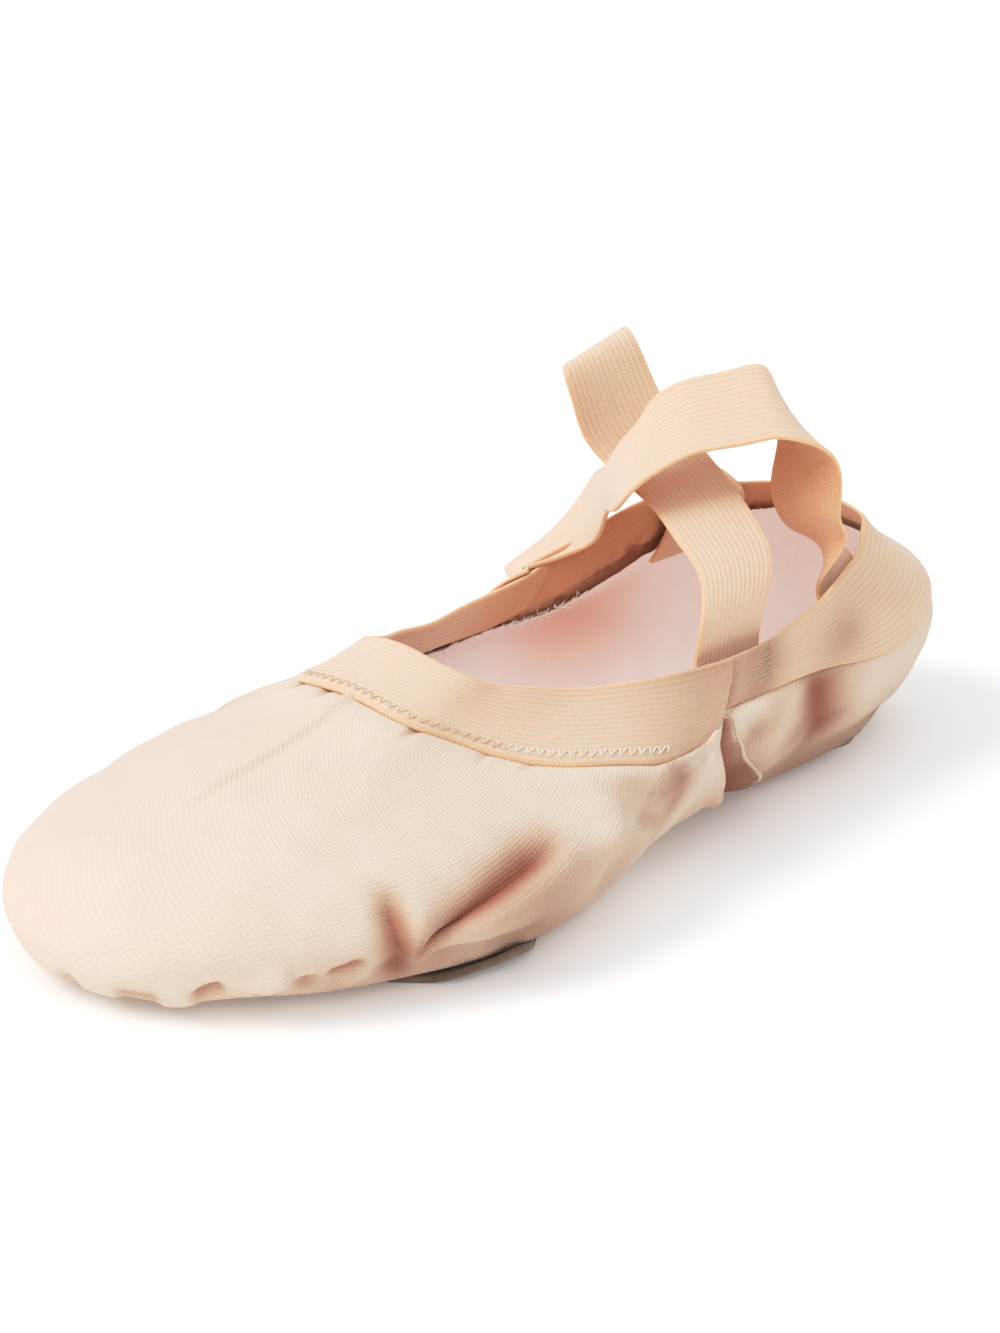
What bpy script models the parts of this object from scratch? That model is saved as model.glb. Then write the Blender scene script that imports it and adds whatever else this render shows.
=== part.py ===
"""Split-sole stretch-canvas ballet shoe with two crossed elastic straps.

The shoe stands empty on its two suede patches.  +X runs to the toe, +Y to the wearer's left
side of the shoe, +Z up; the floor is z = 0.  Sizes below are in millimetres.
"""
import math

import bpy
import numpy as np

MM = 0.001
SHOE = "ballet_shoe"

# ---------------------------------------------------------------- driving sizes
LENGTH = 240.0            # sole edge, heel back to toe tip
CANVAS = 1.4              # canvas with its cotton lining
SUEDE = 1.3               # sole patches
SOCK = 1.2                # full-length insole
ELASTIC = 1.1             # thickness of every elastic
COLLAR_WIDTH = 20.0       # elastic round the opening
STRAP_WIDTH = 19.0        # crossed straps
LAP = 5.0                 # canvas that runs up behind the collar elastic
GAP = 0.3                 # clearance between pieces that are sewn together
COLLAR_GAP = 0.45         # the same between the canvas and the collar elastic over it
SOCK_GAP = 0.6            # and between the canvas and the insole lying on it
ORIGIN_X = 118.6          # middle of the shoe's length, measured from the heel edge
ORIGIN_Y = -0.5

ARCH_LIFT = 7.5           # rise of the canvas under the arch, above the patches
SPINE_HEEL = 30.0         # ends of the centre line that the underside closes on
SPINE_TOE = 202.0
TURN_IN = 15.0            # canvas turned under, measured inwards from the sole edge
PATCH_INSET = 10.0        # suede outline, measured inwards from the sole edge
SOCK_INSET = 10.5
FORE_END = 128.0          # rear end of the forefoot patch
HEEL_END = 64.0           # front end of the heel patch
END_ROUND = 24.0          # length over which a patch end rounds off
HOLE_BACK = 9.0           # the hole ends this far inside the patch end
TOE_SPRING = 2.2          # rise of the forefoot patch at its front end
SPRING_START = 196.0

SPREAD = 1.6              # lower handle of the side profile, in fullnesses outwards
RISE = 0.60               # and up, as a share of the side's height
TOP_SPREAD = 0.44         # upper handle: outwards, in fullnesses, none at the toe
TOP_DROP = (0.43, 0.28)   # upper handle: down, at the sides and at the toe
TOP_LEAN = (0.00, 0.37)   # upper handle: lean towards the sole edge, likewise
JOINT_TURN = 0.50         # side joint of the two collar elastics
JOINT_GAP = 0.0012        # half the gap at that joint, as a turn
SEWN_DEPTH = 12.0         # strap end sewn inside the collar

SEWN_TOP = 0.5
SEWN_INSIDE = 0.7         # middle of the sewn strap, inside the collar's own surface
NEAR_START = (93.0, 1)    # front edge of each sewn end: x, side
NEAR_FINISH = (45.0, -1)
FAR_START = (67.0, -1)
FAR_FINISH = (47.0, 1)

AROUND = 72               # columns round the shoe
SIDE_ROWS = 12
CURL_INSETS = (1.2, 3.2, 6.0, 9.0)      # rows that round the bottom edge
UNDER_ROWS = 2            # rows from there to the hole
STRAP_ROWS = 48
STRAP_COLUMNS = 3
SHEET_COLUMNS = AROUND // 2 + 1           # the insole's columns fall on the upper's
SHEET_SHARES = (0.0, 0.12, 0.5, 1.0)    # outline to spine

# ---------------------------------------------------------------- section tables
# turn: share of the way round from the heel (0) to the toe (1); both sides are alike.
SOLE_EDGE = (
    # turn  half width  height  fullness of the side
    (0.00,  0.0,   8.5,  8.8),    # back of the heel
    (0.12, 13.0,   9.0,  8.2),
    (0.24, 23.4,   9.5,  7.6),    # heel
    (0.45, 32.4,  10.5,  7.2),    # waist
    (0.60, 46.6,  10.4,  8.0),    # ball
    (0.72, 41.7,   7.8,  8.6),
    (0.84, 26.8,   7.3,  8.7),    # toes
    (0.93, 14.2,   7.0,  8.6),
    (1.00,  0.0,   6.8,  8.8),    # toe tip
)
TOE_SKEW = -2.4           # the toe tip falls a little to the far side
RIM = (
    # turn   x from heel  half width  height
    (0.00,  13.2,  0.0,  52.3),   # back of the heel
    (0.12,  16.8, 14.3,  51.6),
    (0.28,  35.0, 23.2,  46.4),
    (0.50,  81.0, 28.5,  38.8),   # side joint
    (0.70, 125.0, 20.4,  38.4),
    (0.84, 142.0, 14.9,  42.0),   # corners of the straight front
    (0.93, 148.4, 10.4,  44.6),
    (1.00, 149.4,  0.0,  45.6),   # middle of the front
)
RIM_SHIFT = -2.4          # the soft opening leans to the far side

# Straps, a row per bend: middle of the strap, and the direction from its front to its rear edge.
STRAP_NEAR = (
    # x      y      z         x      y      z
    (81.8,  23.2,  45.5,    -1.00,  0.05,  0.00),
    (78.4,  20.9,  49.6,    -0.99,  0.12,  0.00),
    (73.8,  16.0,  53.0,    -0.97,  0.22,  0.05),
    (69.6,   8.0,  55.8,    -0.93,  0.35,  0.11),
    (65.5,  -1.0,  58.6,    -0.91,  0.38,  0.14),
    (60.8, -11.2,  60.2,    -0.86,  0.47,  0.22),
    (59.0, -21.0,  63.8,    -0.75,  0.55,  0.36),
    (60.7, -26.9,  69.4,    -0.80,  0.43,  0.42),
    (62.4, -30.0,  76.6,    -0.88,  0.28,  0.38),
    (62.6, -34.2,  83.0,    -0.93,  0.12,  0.34),   # crest
    (60.0, -37.0,  82.0,    -0.96,  0.02,  0.26),
    (55.0, -38.0,  73.5,    -0.98,  0.00,  0.18),
    (50.0, -37.0,  63.0,    -0.99,  0.00,  0.10),
    (42.5, -33.5,  55.0,    -1.00,  0.02,  0.05),
)
STRAP_FAR = (
    (57.5, -29.5,  46.5,    -0.99, -0.03,  0.12),
    (67.6, -25.6,  54.5,    -0.84, -0.52,  0.10),
    (74.6, -16.8,  60.4,    -0.66, -0.73,  0.20),
    (75.2, -12.4,  66.4,    -0.62, -0.74,  0.22),
    (70.9, -10.9,  70.0,    -0.56, -0.79,  0.27),
    (67.1,  -9.1,  73.5,    -0.41, -0.83,  0.38),
    (62.3,  -4.0,  76.9,    -0.34, -0.78,  0.53),
    (56.8,   1.3,  78.8,    -0.38, -0.73,  0.56),
    (52.5,   5.2,  80.0,    -0.44, -0.69,  0.57),   # crest
    (48.0,   8.3,  76.0,    -0.36, -0.89,  0.27),
    (45.1,  10.6,  68.5,    -0.15, -0.99,  0.02),
    (45.6,  11.2,  62.5,    -0.03, -1.00,  0.04),
    (45.9,  12.0,  56.8,    -0.04, -1.00,  0.00),
    (43.8,  13.2,  52.3,    -0.16, -0.97, -0.16),
)

MATERIALS = {
    # name: colour, roughness
    "canvas_pink": ((0.86, 0.66, 0.55), 0.85),
    "elastic_peach": ((0.87, 0.60, 0.44), 0.70),
    "suede_taupe": ((0.36, 0.30, 0.26), 0.95),
    "sock_cotton": ((0.86, 0.68, 0.66), 0.90),
}


# ---------------------------------------------------------------- curves through the tables
def curve(table, column, flat_ends):
    """Cubic spline through one column of a table, against its turn column."""
    knots = np.array([row[0] for row in table])
    values = np.array([row[column] for row in table])
    count = len(knots)
    step = np.diff(knots)
    rate = np.diff(values) / step
    system = np.zeros((count, count))
    right = np.zeros(count)
    for i in range(1, count - 1):
        system[i, i - 1:i + 2] = (step[i - 1], 2 * (step[i - 1] + step[i]), step[i])
        right[i] = 6 * (rate[i] - rate[i - 1])
    system[0, 0] = system[-1, -1] = 1.0
    if flat_ends:
        system[0, :2] = (2 * step[0], step[0])
        system[-1, -2:] = (step[-1], 2 * step[-1])
        right[0] = 6 * rate[0]
        right[-1] = -6 * rate[-1]
    bend = np.linalg.solve(system, right)

    def at(turn):
        i = np.clip(np.searchsorted(knots, turn, side="right") - 1, 0, count - 2)
        low = turn - knots[i]
        high = knots[i + 1] - turn
        span = step[i]
        return ((bend[i] * high**3 + bend[i + 1] * low**3) / (6 * span)
                + (values[i] / span - bend[i] * span / 6) * high
                + (values[i + 1] / span - bend[i + 1] * span / 6) * low)
    return at


edge_half = curve(SOLE_EDGE, 1, False)
edge_height = curve(SOLE_EDGE, 2, True)
edge_full = curve(SOLE_EDGE, 3, True)
rim_x = curve(RIM, 1, True)
rim_half = curve(RIM, 2, False)
rim_height = curve(RIM, 3, True)


def ring(around):
    """Turn and side (+1 near, -1 far) for a place round the shoe, 0 heel, 1 toe, 2 heel."""
    around = np.mod(around, 2.0)
    near = around <= 1.0
    return np.where(near, around, 2.0 - around), np.where(near, 1.0, -1.0)


def along(turn):
    return (1 - np.cos(math.pi * turn)) / 2


def sole_edge(around):
    turn, side = ring(around)
    skew = TOE_SKEW * np.clip(2 * along(turn) - 1, 0, 1)**2
    return np.stack([along(turn) * LENGTH, side * edge_half(turn) + skew, edge_height(turn)], -1)


def rim(around):
    turn, side = ring(around)
    return np.stack([rim_x(turn), side * rim_half(turn) + RIM_SHIFT, rim_height(turn)], -1)


def side_profile(around, rows=61):
    """Side of the shoe from the sole edge up to the rim, one cubic per place round it."""
    turn, _ = ring(around)
    foot = sole_edge(around)
    top = rim(around)
    step = 1e-3
    run = sole_edge(around + step) - sole_edge(around - step)
    out = np.stack([-run[:, 1], run[:, 0], 0 * turn], -1)
    out /= np.linalg.norm(out, axis=-1)[:, None]
    full = edge_full(turn)[:, None]
    height = (top - foot)[:, 2:]
    up = np.array([0.0, 0.0, 1.0])
    toeward = np.clip((along(turn) - 0.55) / 0.45, 0, 1)[:, None]
    inward = (foot - top) * (1, 1, 0)
    drop = TOP_DROP[0] + (TOP_DROP[1] - TOP_DROP[0]) * toeward
    lean = TOP_LEAN[0] + (TOP_LEAN[1] - TOP_LEAN[0]) * toeward
    low = foot + out * full * SPREAD + up * height * RISE
    high = (top + inward * lean + out * full * TOP_SPREAD * (1 - toeward)
            - up * height * drop)
    v = np.linspace(0, 1, rows)[:, None, None]
    return ((1 - v)**3 * foot + 3 * v * (1 - v)**2 * low + 3 * v * v * (1 - v) * high
            + v**3 * top)


def below_rim(around, drop):
    """Points on the outside of the shoe, `drop` millimetres down the surface from the rim."""
    line = side_profile(around)[::-1]
    length = np.linalg.norm(np.diff(line, axis=0), axis=2)
    length = np.concatenate([np.zeros((1, len(around))), np.cumsum(length, 0)])
    drop = np.broadcast_to(np.asarray(drop, float), (np.shape(drop)[0], len(around)))
    points = np.empty(drop.shape + (3,))
    for j in range(len(around)):
        for axis in range(3):
            points[:, j, axis] = np.interp(drop[:, j], length[:, j], line[:, j, axis])
    return points


def side_length(around):
    line = side_profile(around)
    return np.linalg.norm(np.diff(line, axis=0), axis=2).sum(0)


def off_side(around, drop, distance):
    """below_rim moved square to the surface, outwards for a positive distance."""
    drop = np.asarray(drop, float)
    step = 2e-3
    slide = 0.8
    level = below_rim(around + step, drop) - below_rim(around - step, drop)
    down = below_rim(around, drop + slide) - below_rim(around, np.maximum(drop - slide, 0))
    normal = np.cross(level, down)
    normal /= np.linalg.norm(normal, axis=-1)[..., None]
    return below_rim(around, drop) + normal * distance


# ---------------------------------------------------------------- underside
def spine(turn):
    return SPINE_HEEL + along(turn) * (SPINE_TOE - SPINE_HEEL)


def spine_turn(x):
    """Turn whose place on the spine is x."""
    share = (x - SPINE_HEEL) / (SPINE_TOE - SPINE_HEEL)
    return math.acos(1 - 2 * share) / math.pi


def floor_height(x):
    """Height of the canvas underside on the centre line."""
    share = np.clip((x - HEEL_END) / (FORE_END - HEEL_END), 0, 1)
    arch = ARCH_LIFT * np.sin(math.pi * share)**2
    return SUEDE + GAP + arch + toe_spring(x)


def toe_spring(x):
    return TOE_SPRING * np.clip((x - SPRING_START) / (LENGTH - SPRING_START), 0, 1)**2


def underside(around, inset):
    """Canvas underside, `inset` millimetres in from the sole edge towards the spine."""
    turn, _ = ring(around)
    foot = sole_edge(around)
    middle = np.stack([spine(turn), 0 * turn], -1)
    across = middle - foot[:, :2]
    reach = np.linalg.norm(across, axis=-1)
    plan = foot[:, :2] + across * np.minimum(inset / reach, 1.0)[..., None]
    height = rim(around)[:, 2] - foot[:, 2]
    slope = RISE * height / (SPREAD * edge_full(turn))
    base = floor_height(plan[..., 0])
    rise = foot[:, 2] - floor_height(foot[:, 0])
    curl = np.minimum(2 * rise / slope, PATCH_INSET)
    z = base + rise * np.clip(1 - inset / curl, 0, 1)**2
    return np.concatenate([plan, z[..., None]], -1)


def reach_to_spine(around):
    turn, _ = ring(around)
    foot = sole_edge(around)
    return np.hypot(foot[:, 0] - spine(turn), foot[:, 1])


def rounded_share(x, fore_end, heel_end):
    """0 under the arch, rising to 1 over a quarter circle inside either patch."""
    fore = np.clip((x - fore_end) / END_ROUND, 0, 1)
    heel = np.clip((heel_end - x) / END_ROUND, 0, 1)
    inside = np.maximum(fore, heel)
    return np.sqrt(1 - (1 - inside)**2)


def patch_inset(around, inset, fore_end, heel_end):
    """Inset of a patch or hole outline: the full reach under the arch, `inset` elsewhere."""
    turn, _ = ring(around)
    share = rounded_share(spine(turn), fore_end, heel_end)
    reach = reach_to_spine(around)
    return reach - share * (reach - inset)


# ---------------------------------------------------------------- meshes
def make_piece(name, rows, closed, material, thickness, side):
    """Sheet through rows of points, thickened by Solidify.

    rows: array (row, column, 3) in millimetres.  closed joins the last column to the first.
    side: -1 puts the thickness under the sheet's normal side, +1 over it, 0 both ways.
    """
    points = (rows - np.array([ORIGIN_X, ORIGIN_Y, 0.0])) * MM
    count = rows.shape[1]
    verts = [tuple(p) for p in points.reshape(-1, 3)]
    faces = []
    for r in range(rows.shape[0] - 1):
        for c in range(count if closed else count - 1):
            d = (c + 1) % count
            faces.append((r * count + c, (r + 1) * count + c, (r + 1) * count + d, r * count + d))
    mesh = bpy.data.meshes.new(name)
    mesh.from_pydata(verts, [], faces)
    piece = bpy.data.objects.new(name, mesh)
    collection.objects.link(piece)
    weld = piece.modifiers.new("weld", "WELD")
    weld.merge_threshold = 0.00001
    wall = piece.modifiers.new("wall", "SOLIDIFY")
    wall.thickness = thickness * MM
    wall.offset = side
    wall.use_even_offset = True
    wall.use_quality_normals = True
    piece.data.materials.append(materials[material])
    return piece


def build_upper():
    """Canvas from the turned-in edge, round the sole edge and up behind the elastic."""
    around = np.arange(AROUND) * 2.0 / AROUND
    hole = patch_inset(around, TURN_IN, FORE_END + HOLE_BACK, HEEL_END - HOLE_BACK)
    outer = CURL_INSETS[-1]
    shares = np.linspace(1, 0, UNDER_ROWS + 1)[:-1]
    insets = [outer + (hole - outer) * share for share in shares]
    insets += [hole * 0 + inset for inset in reversed(CURL_INSETS)]
    under = [underside(around, inset) for inset in insets]
    top = side_length(around)
    canvas_top = COLLAR_WIDTH - LAP
    climbs = np.linspace(0, 1, SIDE_ROWS + 1)
    side = [below_rim(around, (canvas_top + (top - canvas_top) * (1 - c))[None])[0]
            for c in climbs]
    return make_piece("upper", np.array(under + side), True, "canvas_pink", CANVAS, -1)


def build_collar(name, first, last):
    """Collar elastic between two joints, lapped outside the canvas."""
    grid = np.arange(-AROUND, 2 * AROUND) * 2.0 / AROUND
    around = grid[(grid > first + 5 * JOINT_GAP) & (grid < last - 5 * JOINT_GAP)]
    around = np.concatenate([[first + JOINT_GAP], around, [last - JOINT_GAP]])
    drops = np.linspace(COLLAR_WIDTH, 0, 5)[:, None]
    rows = off_side(around, drops + 0 * around, COLLAR_GAP)
    return make_piece(name, rows, False, "elastic_peach", ELASTIC, 1)


def build_sheet(name, turns, inset, ends, lift, material, thickness, side):
    """Flat piece under or inside the foot, from its outline to the spine on both sides."""
    turns = np.linspace(*turns, SHEET_COLUMNS)
    halves = []
    for around in (turns, np.mod(2.0 - turns, 2.0)):
        line = patch_inset(around, inset, *ends)
        reach = reach_to_spine(around)
        halves.append([underside(around, line + (reach - line) * share)
                       for share in SHEET_SHARES])
    rows = np.array(halves[0] + halves[1][-2::-1])
    rows[..., 2] = floor_height(rows[..., 0]) + lift
    return make_piece(name, rows, False, material, thickness, side)


def around_at(x, side):
    """Place round the rim that lies x millimetres forward, on the near or the far side."""
    turns = np.linspace(0.02, 0.98, 193)
    turn = np.interp(x, rim_x(turns), turns)
    return turn if side > 0 else 2.0 - turn


def sewn_end(front_x, side):
    """Strap middle and cross direction where it is sewn inside the rim, deepest row first."""
    around = np.array([around_at(front_x, side), around_at(front_x - STRAP_WIDTH, side)])
    drops = np.array([SEWN_DEPTH, SEWN_DEPTH / 2, SEWN_TOP])[:, None]
    edges = off_side(around, drops + 0 * around, -SEWN_INSIDE)
    return edges.mean(1), edges[:, 1] - edges[:, 0]


def build_strap(name, table, start, end):
    """Flat elastic through its bends, with both ends sewn inside the collar."""
    foot, foot_across = sewn_end(*start)
    head, head_across = sewn_end(*end)
    middles = np.concatenate([foot, [row[0:3] for row in table], head[::-1]])
    across = np.concatenate([foot_across, [row[3:6] for row in table], head_across[::-1]])
    across /= np.linalg.norm(across, axis=1)[:, None]
    run = np.linalg.norm(np.diff(middles, axis=0), axis=1)
    place = np.concatenate([[0], np.cumsum(run)])
    path = np.column_stack([place, middles, across])
    steps = np.linspace(0, place[-1], STRAP_ROWS)
    middle = np.column_stack([curve(path, 1 + axis, False)(steps) for axis in range(3)])
    cross = np.column_stack([curve(path, 4 + axis, False)(steps) for axis in range(3)])
    cross /= np.linalg.norm(cross, axis=1)[:, None]
    shares = np.linspace(-0.5, 0.5, STRAP_COLUMNS)
    rows = np.array([middle + cross * STRAP_WIDTH * share for share in shares])
    return make_piece(name, rows, False, "elastic_peach", ELASTIC, 0)


def make_material(name, colour, roughness):
    material = bpy.data.materials.new(name)
    material.use_nodes = True
    shader = material.node_tree.nodes["Principled BSDF"]
    shader.inputs["Base Color"].default_value = (*colour, 1.0)
    shader.inputs["Roughness"].default_value = roughness
    shader.inputs["Metallic"].default_value = 0.0
    return material


for leftover in list(bpy.data.objects):
    bpy.data.objects.remove(leftover)

collection = bpy.data.collections.new(SHOE)
bpy.context.scene.collection.children.link(collection)
materials = {name: make_material(name, *look) for name, look in MATERIALS.items()}

build_upper()
build_collar("collar_front_elastic", JOINT_TURN, 2.0 - JOINT_TURN)
build_collar("collar_heel_elastic", -JOINT_TURN, JOINT_TURN)
build_sheet("forefoot_sole", (spine_turn(FORE_END), 1.0), PATCH_INSET, (FORE_END, HEEL_END),
            -GAP, "suede_taupe", SUEDE, -1)
build_sheet("heel_sole", (0.0, spine_turn(HEEL_END)), PATCH_INSET, (FORE_END, HEEL_END),
            -GAP, "suede_taupe", SUEDE, -1)
build_sheet("insole", (0.0, 1.0), SOCK_INSET, (0.0, 0.0),
            CANVAS + SOCK_GAP, "sock_cotton", SOCK, 1)
build_strap("strap_near", STRAP_NEAR, NEAR_START, NEAR_FINISH)
build_strap("strap_far", STRAP_FAR, FAR_START, FAR_FINISH)
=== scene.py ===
"""Looks of the split-sole ballet shoe: stretch canvas, ribbed elastic, cotton lining, suede.

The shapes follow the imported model.  Sizes are in the shoe's own millimetres, measured from the
back of the sole edge (+X to the toe, +Y to the near side, +Z up), and `to_frame` turns them
into the frame's metres.
"""
import math

import bpy
import numpy as np
from mathutils.bvhtree import BVHTree
from mathutils import Matrix, Vector, noise


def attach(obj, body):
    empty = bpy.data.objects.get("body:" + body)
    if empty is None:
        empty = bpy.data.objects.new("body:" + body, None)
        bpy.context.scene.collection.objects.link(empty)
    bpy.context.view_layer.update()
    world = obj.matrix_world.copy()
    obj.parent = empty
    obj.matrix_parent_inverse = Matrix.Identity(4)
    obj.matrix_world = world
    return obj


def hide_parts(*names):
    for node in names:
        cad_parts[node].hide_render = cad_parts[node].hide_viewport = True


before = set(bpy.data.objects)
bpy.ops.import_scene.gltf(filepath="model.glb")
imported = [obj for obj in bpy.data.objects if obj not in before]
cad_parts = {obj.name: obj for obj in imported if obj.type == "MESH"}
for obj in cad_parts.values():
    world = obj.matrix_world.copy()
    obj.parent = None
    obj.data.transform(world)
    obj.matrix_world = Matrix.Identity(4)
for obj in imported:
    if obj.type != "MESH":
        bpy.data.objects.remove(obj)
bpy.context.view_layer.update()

MM = 0.001
RNG = np.random.default_rng(7)
NUDGE = 1e-3              # small step round the shoe, to find a direction

# ---------------------------------------------------------------- driving sizes
LENGTH = 240.0            # sole edge, heel back to toe tip
ORIGIN = np.array([118.6, -0.5, 0.0])    # the frame's origin, in the shoe's millimetres
CANVAS = 1.4              # thickness of the canvas with its lining
SUEDE = 1.3
SOCK = 1.2
ELASTIC = 1.1
BAND_GAP = 0.45           # collar elastic over the canvas
BAND_WIDTH = 20.0
STRAP_WIDTH = 19.0
LAP = 5.0                 # canvas that runs up behind the collar elastic
GAP = 0.3                 # between the canvas and a sole patch
ARCH_LIFT = 7.5
SPINE_HEEL = 30.0         # ends of the line under the foot that the underside runs in to
SPINE_TOE = 202.0
PATCH_INSET = 10.0        # the canvas has curled level this far inside the sole edge
SOCK_INSET = 10.5
FORE_END = 128.0          # where the two sole patches end under the arch
HEEL_END = 64.0
END_ROUND = 24.0          # how those ends are rounded
TOE_SPRING = 2.2          # rise of the toe, from SPRING_START to the tip
SPRING_START = 196.0
SPREAD = 1.6              # side's cubic: how far out and up it leaves the sole edge
RISE = 0.60
TOP_SPREAD = 0.44         # and how far out, down and in it leaves the rim, heel and toe
TOP_DROP = (0.43, 0.28)
TOP_LEAN = (0.00, 0.37)
TOE_SHAPE = 0.55          # share of the length where the toe's figures begin to take over
TOE_SKEW = -2.4           # toe tip and rim, off the middle towards the far side
RIM_SHIFT = -2.4
SEWN_DEPTH = 12.0         # strap end sewn inside the rim: lowest, highest, and in from the skin
SEWN_TOP = 0.5
SEWN_INSIDE = 2.1
NEAR_START = (93.0, 1)    # front edge of a sewn strap end, and its side
NEAR_FINISH = (45.0, -1)
FAR_FINISH = (47.0, 1)

SOLE_EDGE = (
    # turn  half width  height  fullness of the side
    (0.00,  0.0,   8.5,  8.8),    # back of the heel
    (0.12, 13.0,   9.0,  8.2),
    (0.24, 23.4,   9.5,  7.6),    # heel
    (0.45, 32.4,  10.5,  7.2),    # waist
    (0.60, 46.6,  10.4,  8.0),    # ball
    (0.72, 41.7,   7.8,  8.6),
    (0.84, 26.8,   7.3,  8.7),    # toes
    (0.93, 14.2,   7.0,  8.6),
    (1.00,  0.0,   6.8,  8.8),    # toe tip
)
RIM = (
    # turn   x from heel  half width  height
    (0.00,  13.2,  0.0,  52.3),   # back of the heel
    (0.12,  16.8, 14.3,  51.6),
    (0.28,  35.0, 23.2,  46.4),
    (0.50,  81.0, 28.5,  38.8),   # side joint
    (0.70, 125.0, 20.4,  38.4),
    (0.84, 142.0, 14.9,  42.0),   # corners of the straight front
    (0.93, 148.4, 10.4,  44.6),
    (1.00, 149.4,  0.0,  45.6),   # middle of the front
)
# Straps, a row per bend: middle of the strap, and the direction from its front to its rear edge.
STRAP_NEAR = (
    # x      y      z         x      y      z
    (81.8,  23.2,  45.5,    -1.00,  0.05,  0.00),
    (78.4,  20.9,  49.6,    -0.99,  0.12,  0.00),
    (73.8,  16.0,  53.0,    -0.97,  0.22,  0.05),
    (69.6,   8.0,  55.8,    -0.93,  0.35,  0.11),
    (65.5,  -1.0,  58.6,    -0.91,  0.38,  0.14),
    (60.8, -11.2,  60.2,    -0.86,  0.47,  0.22),
    (59.0, -21.0,  63.8,    -0.75,  0.55,  0.36),
    (60.7, -26.9,  69.4,    -0.80,  0.43,  0.42),
    (62.4, -30.0,  76.6,    -0.88,  0.28,  0.38),
    (62.6, -34.2,  83.0,    -0.93,  0.12,  0.34),   # crest
    (60.0, -37.0,  82.0,    -0.96,  0.02,  0.26),
    (55.0, -38.0,  73.5,    -0.98,  0.00,  0.18),
    (50.0, -37.0,  63.0,    -0.99,  0.00,  0.10),
    (42.5, -33.5,  55.0,    -1.00,  0.02,  0.05),
)
STRAP_FAR = (
    (86.0, -34.8,  32.6,    -0.87, -0.22, -0.44),   # sewn outside the collar elastic
    (80.5, -37.6,  35.2,    -0.33, -0.80, -0.50),
    (68.0, -34.6,  41.0,    -0.25, -0.93, -0.26),
    (66.2, -30.0,  48.0,    -0.52, -0.85, -0.05),
    (67.8, -25.8,  54.5,    -0.63, -0.77,  0.08),
    (74.6, -16.8,  60.4,    -0.66, -0.73,  0.20),
    (75.2, -12.4,  66.4,    -0.62, -0.74,  0.22),
    (70.9, -10.9,  70.0,    -0.56, -0.79,  0.27),
    (67.1,  -9.1,  73.5,    -0.41, -0.83,  0.38),
    (62.3,  -4.0,  76.9,    -0.34, -0.78,  0.53),
    (56.8,   1.3,  78.8,    -0.38, -0.73,  0.56),
    (52.5,   5.2,  80.0,    -0.44, -0.69,  0.57),   # crest
    (48.0,   8.3,  76.0,    -0.36, -0.89,  0.27),
    (45.1,  10.6,  68.5,    -0.15, -0.99,  0.02),
    (45.6,  11.2,  62.5,    -0.03, -1.00,  0.04),
    (45.9,  12.0,  56.8,    -0.04, -1.00,  0.00),
    (43.8,  13.2,  52.3,    -0.16, -0.97, -0.16),
)


# ---------------------------------------------------------------- curves through the tables
def curve(table, column, flat_ends):
    """Cubic spline through one column of a table, against its first column."""
    knots = np.array([row[0] for row in table], float)
    values = np.array([row[column] for row in table], float)
    count = len(knots)
    step = np.diff(knots)
    rate = np.diff(values) / step
    system = np.zeros((count, count))
    right = np.zeros(count)
    for i in range(1, count - 1):
        system[i, i - 1:i + 2] = (step[i - 1], 2 * (step[i - 1] + step[i]), step[i])
        right[i] = 6 * (rate[i] - rate[i - 1])
    system[0, 0] = system[-1, -1] = 1.0
    if flat_ends:
        system[0, :2] = (2 * step[0], step[0])
        system[-1, -2:] = (step[-1], 2 * step[-1])
        right[0] = 6 * rate[0]
        right[-1] = -6 * rate[-1]
    bend = np.linalg.solve(system, right)

    def at(place):
        i = np.clip(np.searchsorted(knots, place, side="right") - 1, 0, count - 2)
        low = place - knots[i]
        high = knots[i + 1] - place
        span = step[i]
        return ((bend[i] * high**3 + bend[i + 1] * low**3) / (6 * span)
                + (values[i] / span - bend[i] * span / 6) * high
                + (values[i + 1] / span - bend[i + 1] * span / 6) * low)
    return at


edge_half = curve(SOLE_EDGE, 1, False)
edge_height = curve(SOLE_EDGE, 2, True)
edge_full = curve(SOLE_EDGE, 3, True)
rim_x = curve(RIM, 1, True)
rim_half = curve(RIM, 2, False)
rim_height = curve(RIM, 3, True)


def ring(around):
    """Turn and side (+1 near, -1 far) for a place round the shoe, 0 heel, 1 toe, 2 heel."""
    around = np.mod(around, 2.0)
    near = around <= 1.0
    return np.where(near, around, 2.0 - around), np.where(near, 1.0, -1.0)


def along(turn):
    return (1 - np.cos(math.pi * turn)) / 2


def smooth(low, high, value):
    share = np.clip((value - low) / (high - low), 0, 1)
    return share * share * (3 - 2 * share)


def hump(value, middle, width):
    return np.exp(-((value - middle) / width) ** 2)


def unit(vectors):
    return vectors / np.maximum(np.linalg.norm(vectors, axis=-1), 1e-9)[..., None]


def lengths(points):
    """Millimetres run along each line of points, from its first row to every row."""
    steps = np.linalg.norm(np.diff(points, axis=0), axis=-1)
    return np.concatenate([np.zeros_like(steps[:1]), np.cumsum(steps, 0)])


def read_line(place, known, values):
    """Every column of values, known at places along a line, read at other places."""
    return np.stack([np.interp(place, known, column) for column in values.T], -1)


def read_columns(place, known, grid):
    """Every column of a grid, known at places down it, read at other places."""
    count = grid.shape[1]
    place = np.broadcast_to(place, (len(place), count))
    known = np.broadcast_to(known, (len(known), count))
    return np.stack([read_line(place[:, j], known[:, j], grid[:, j]) for j in range(count)], 1)


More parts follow.
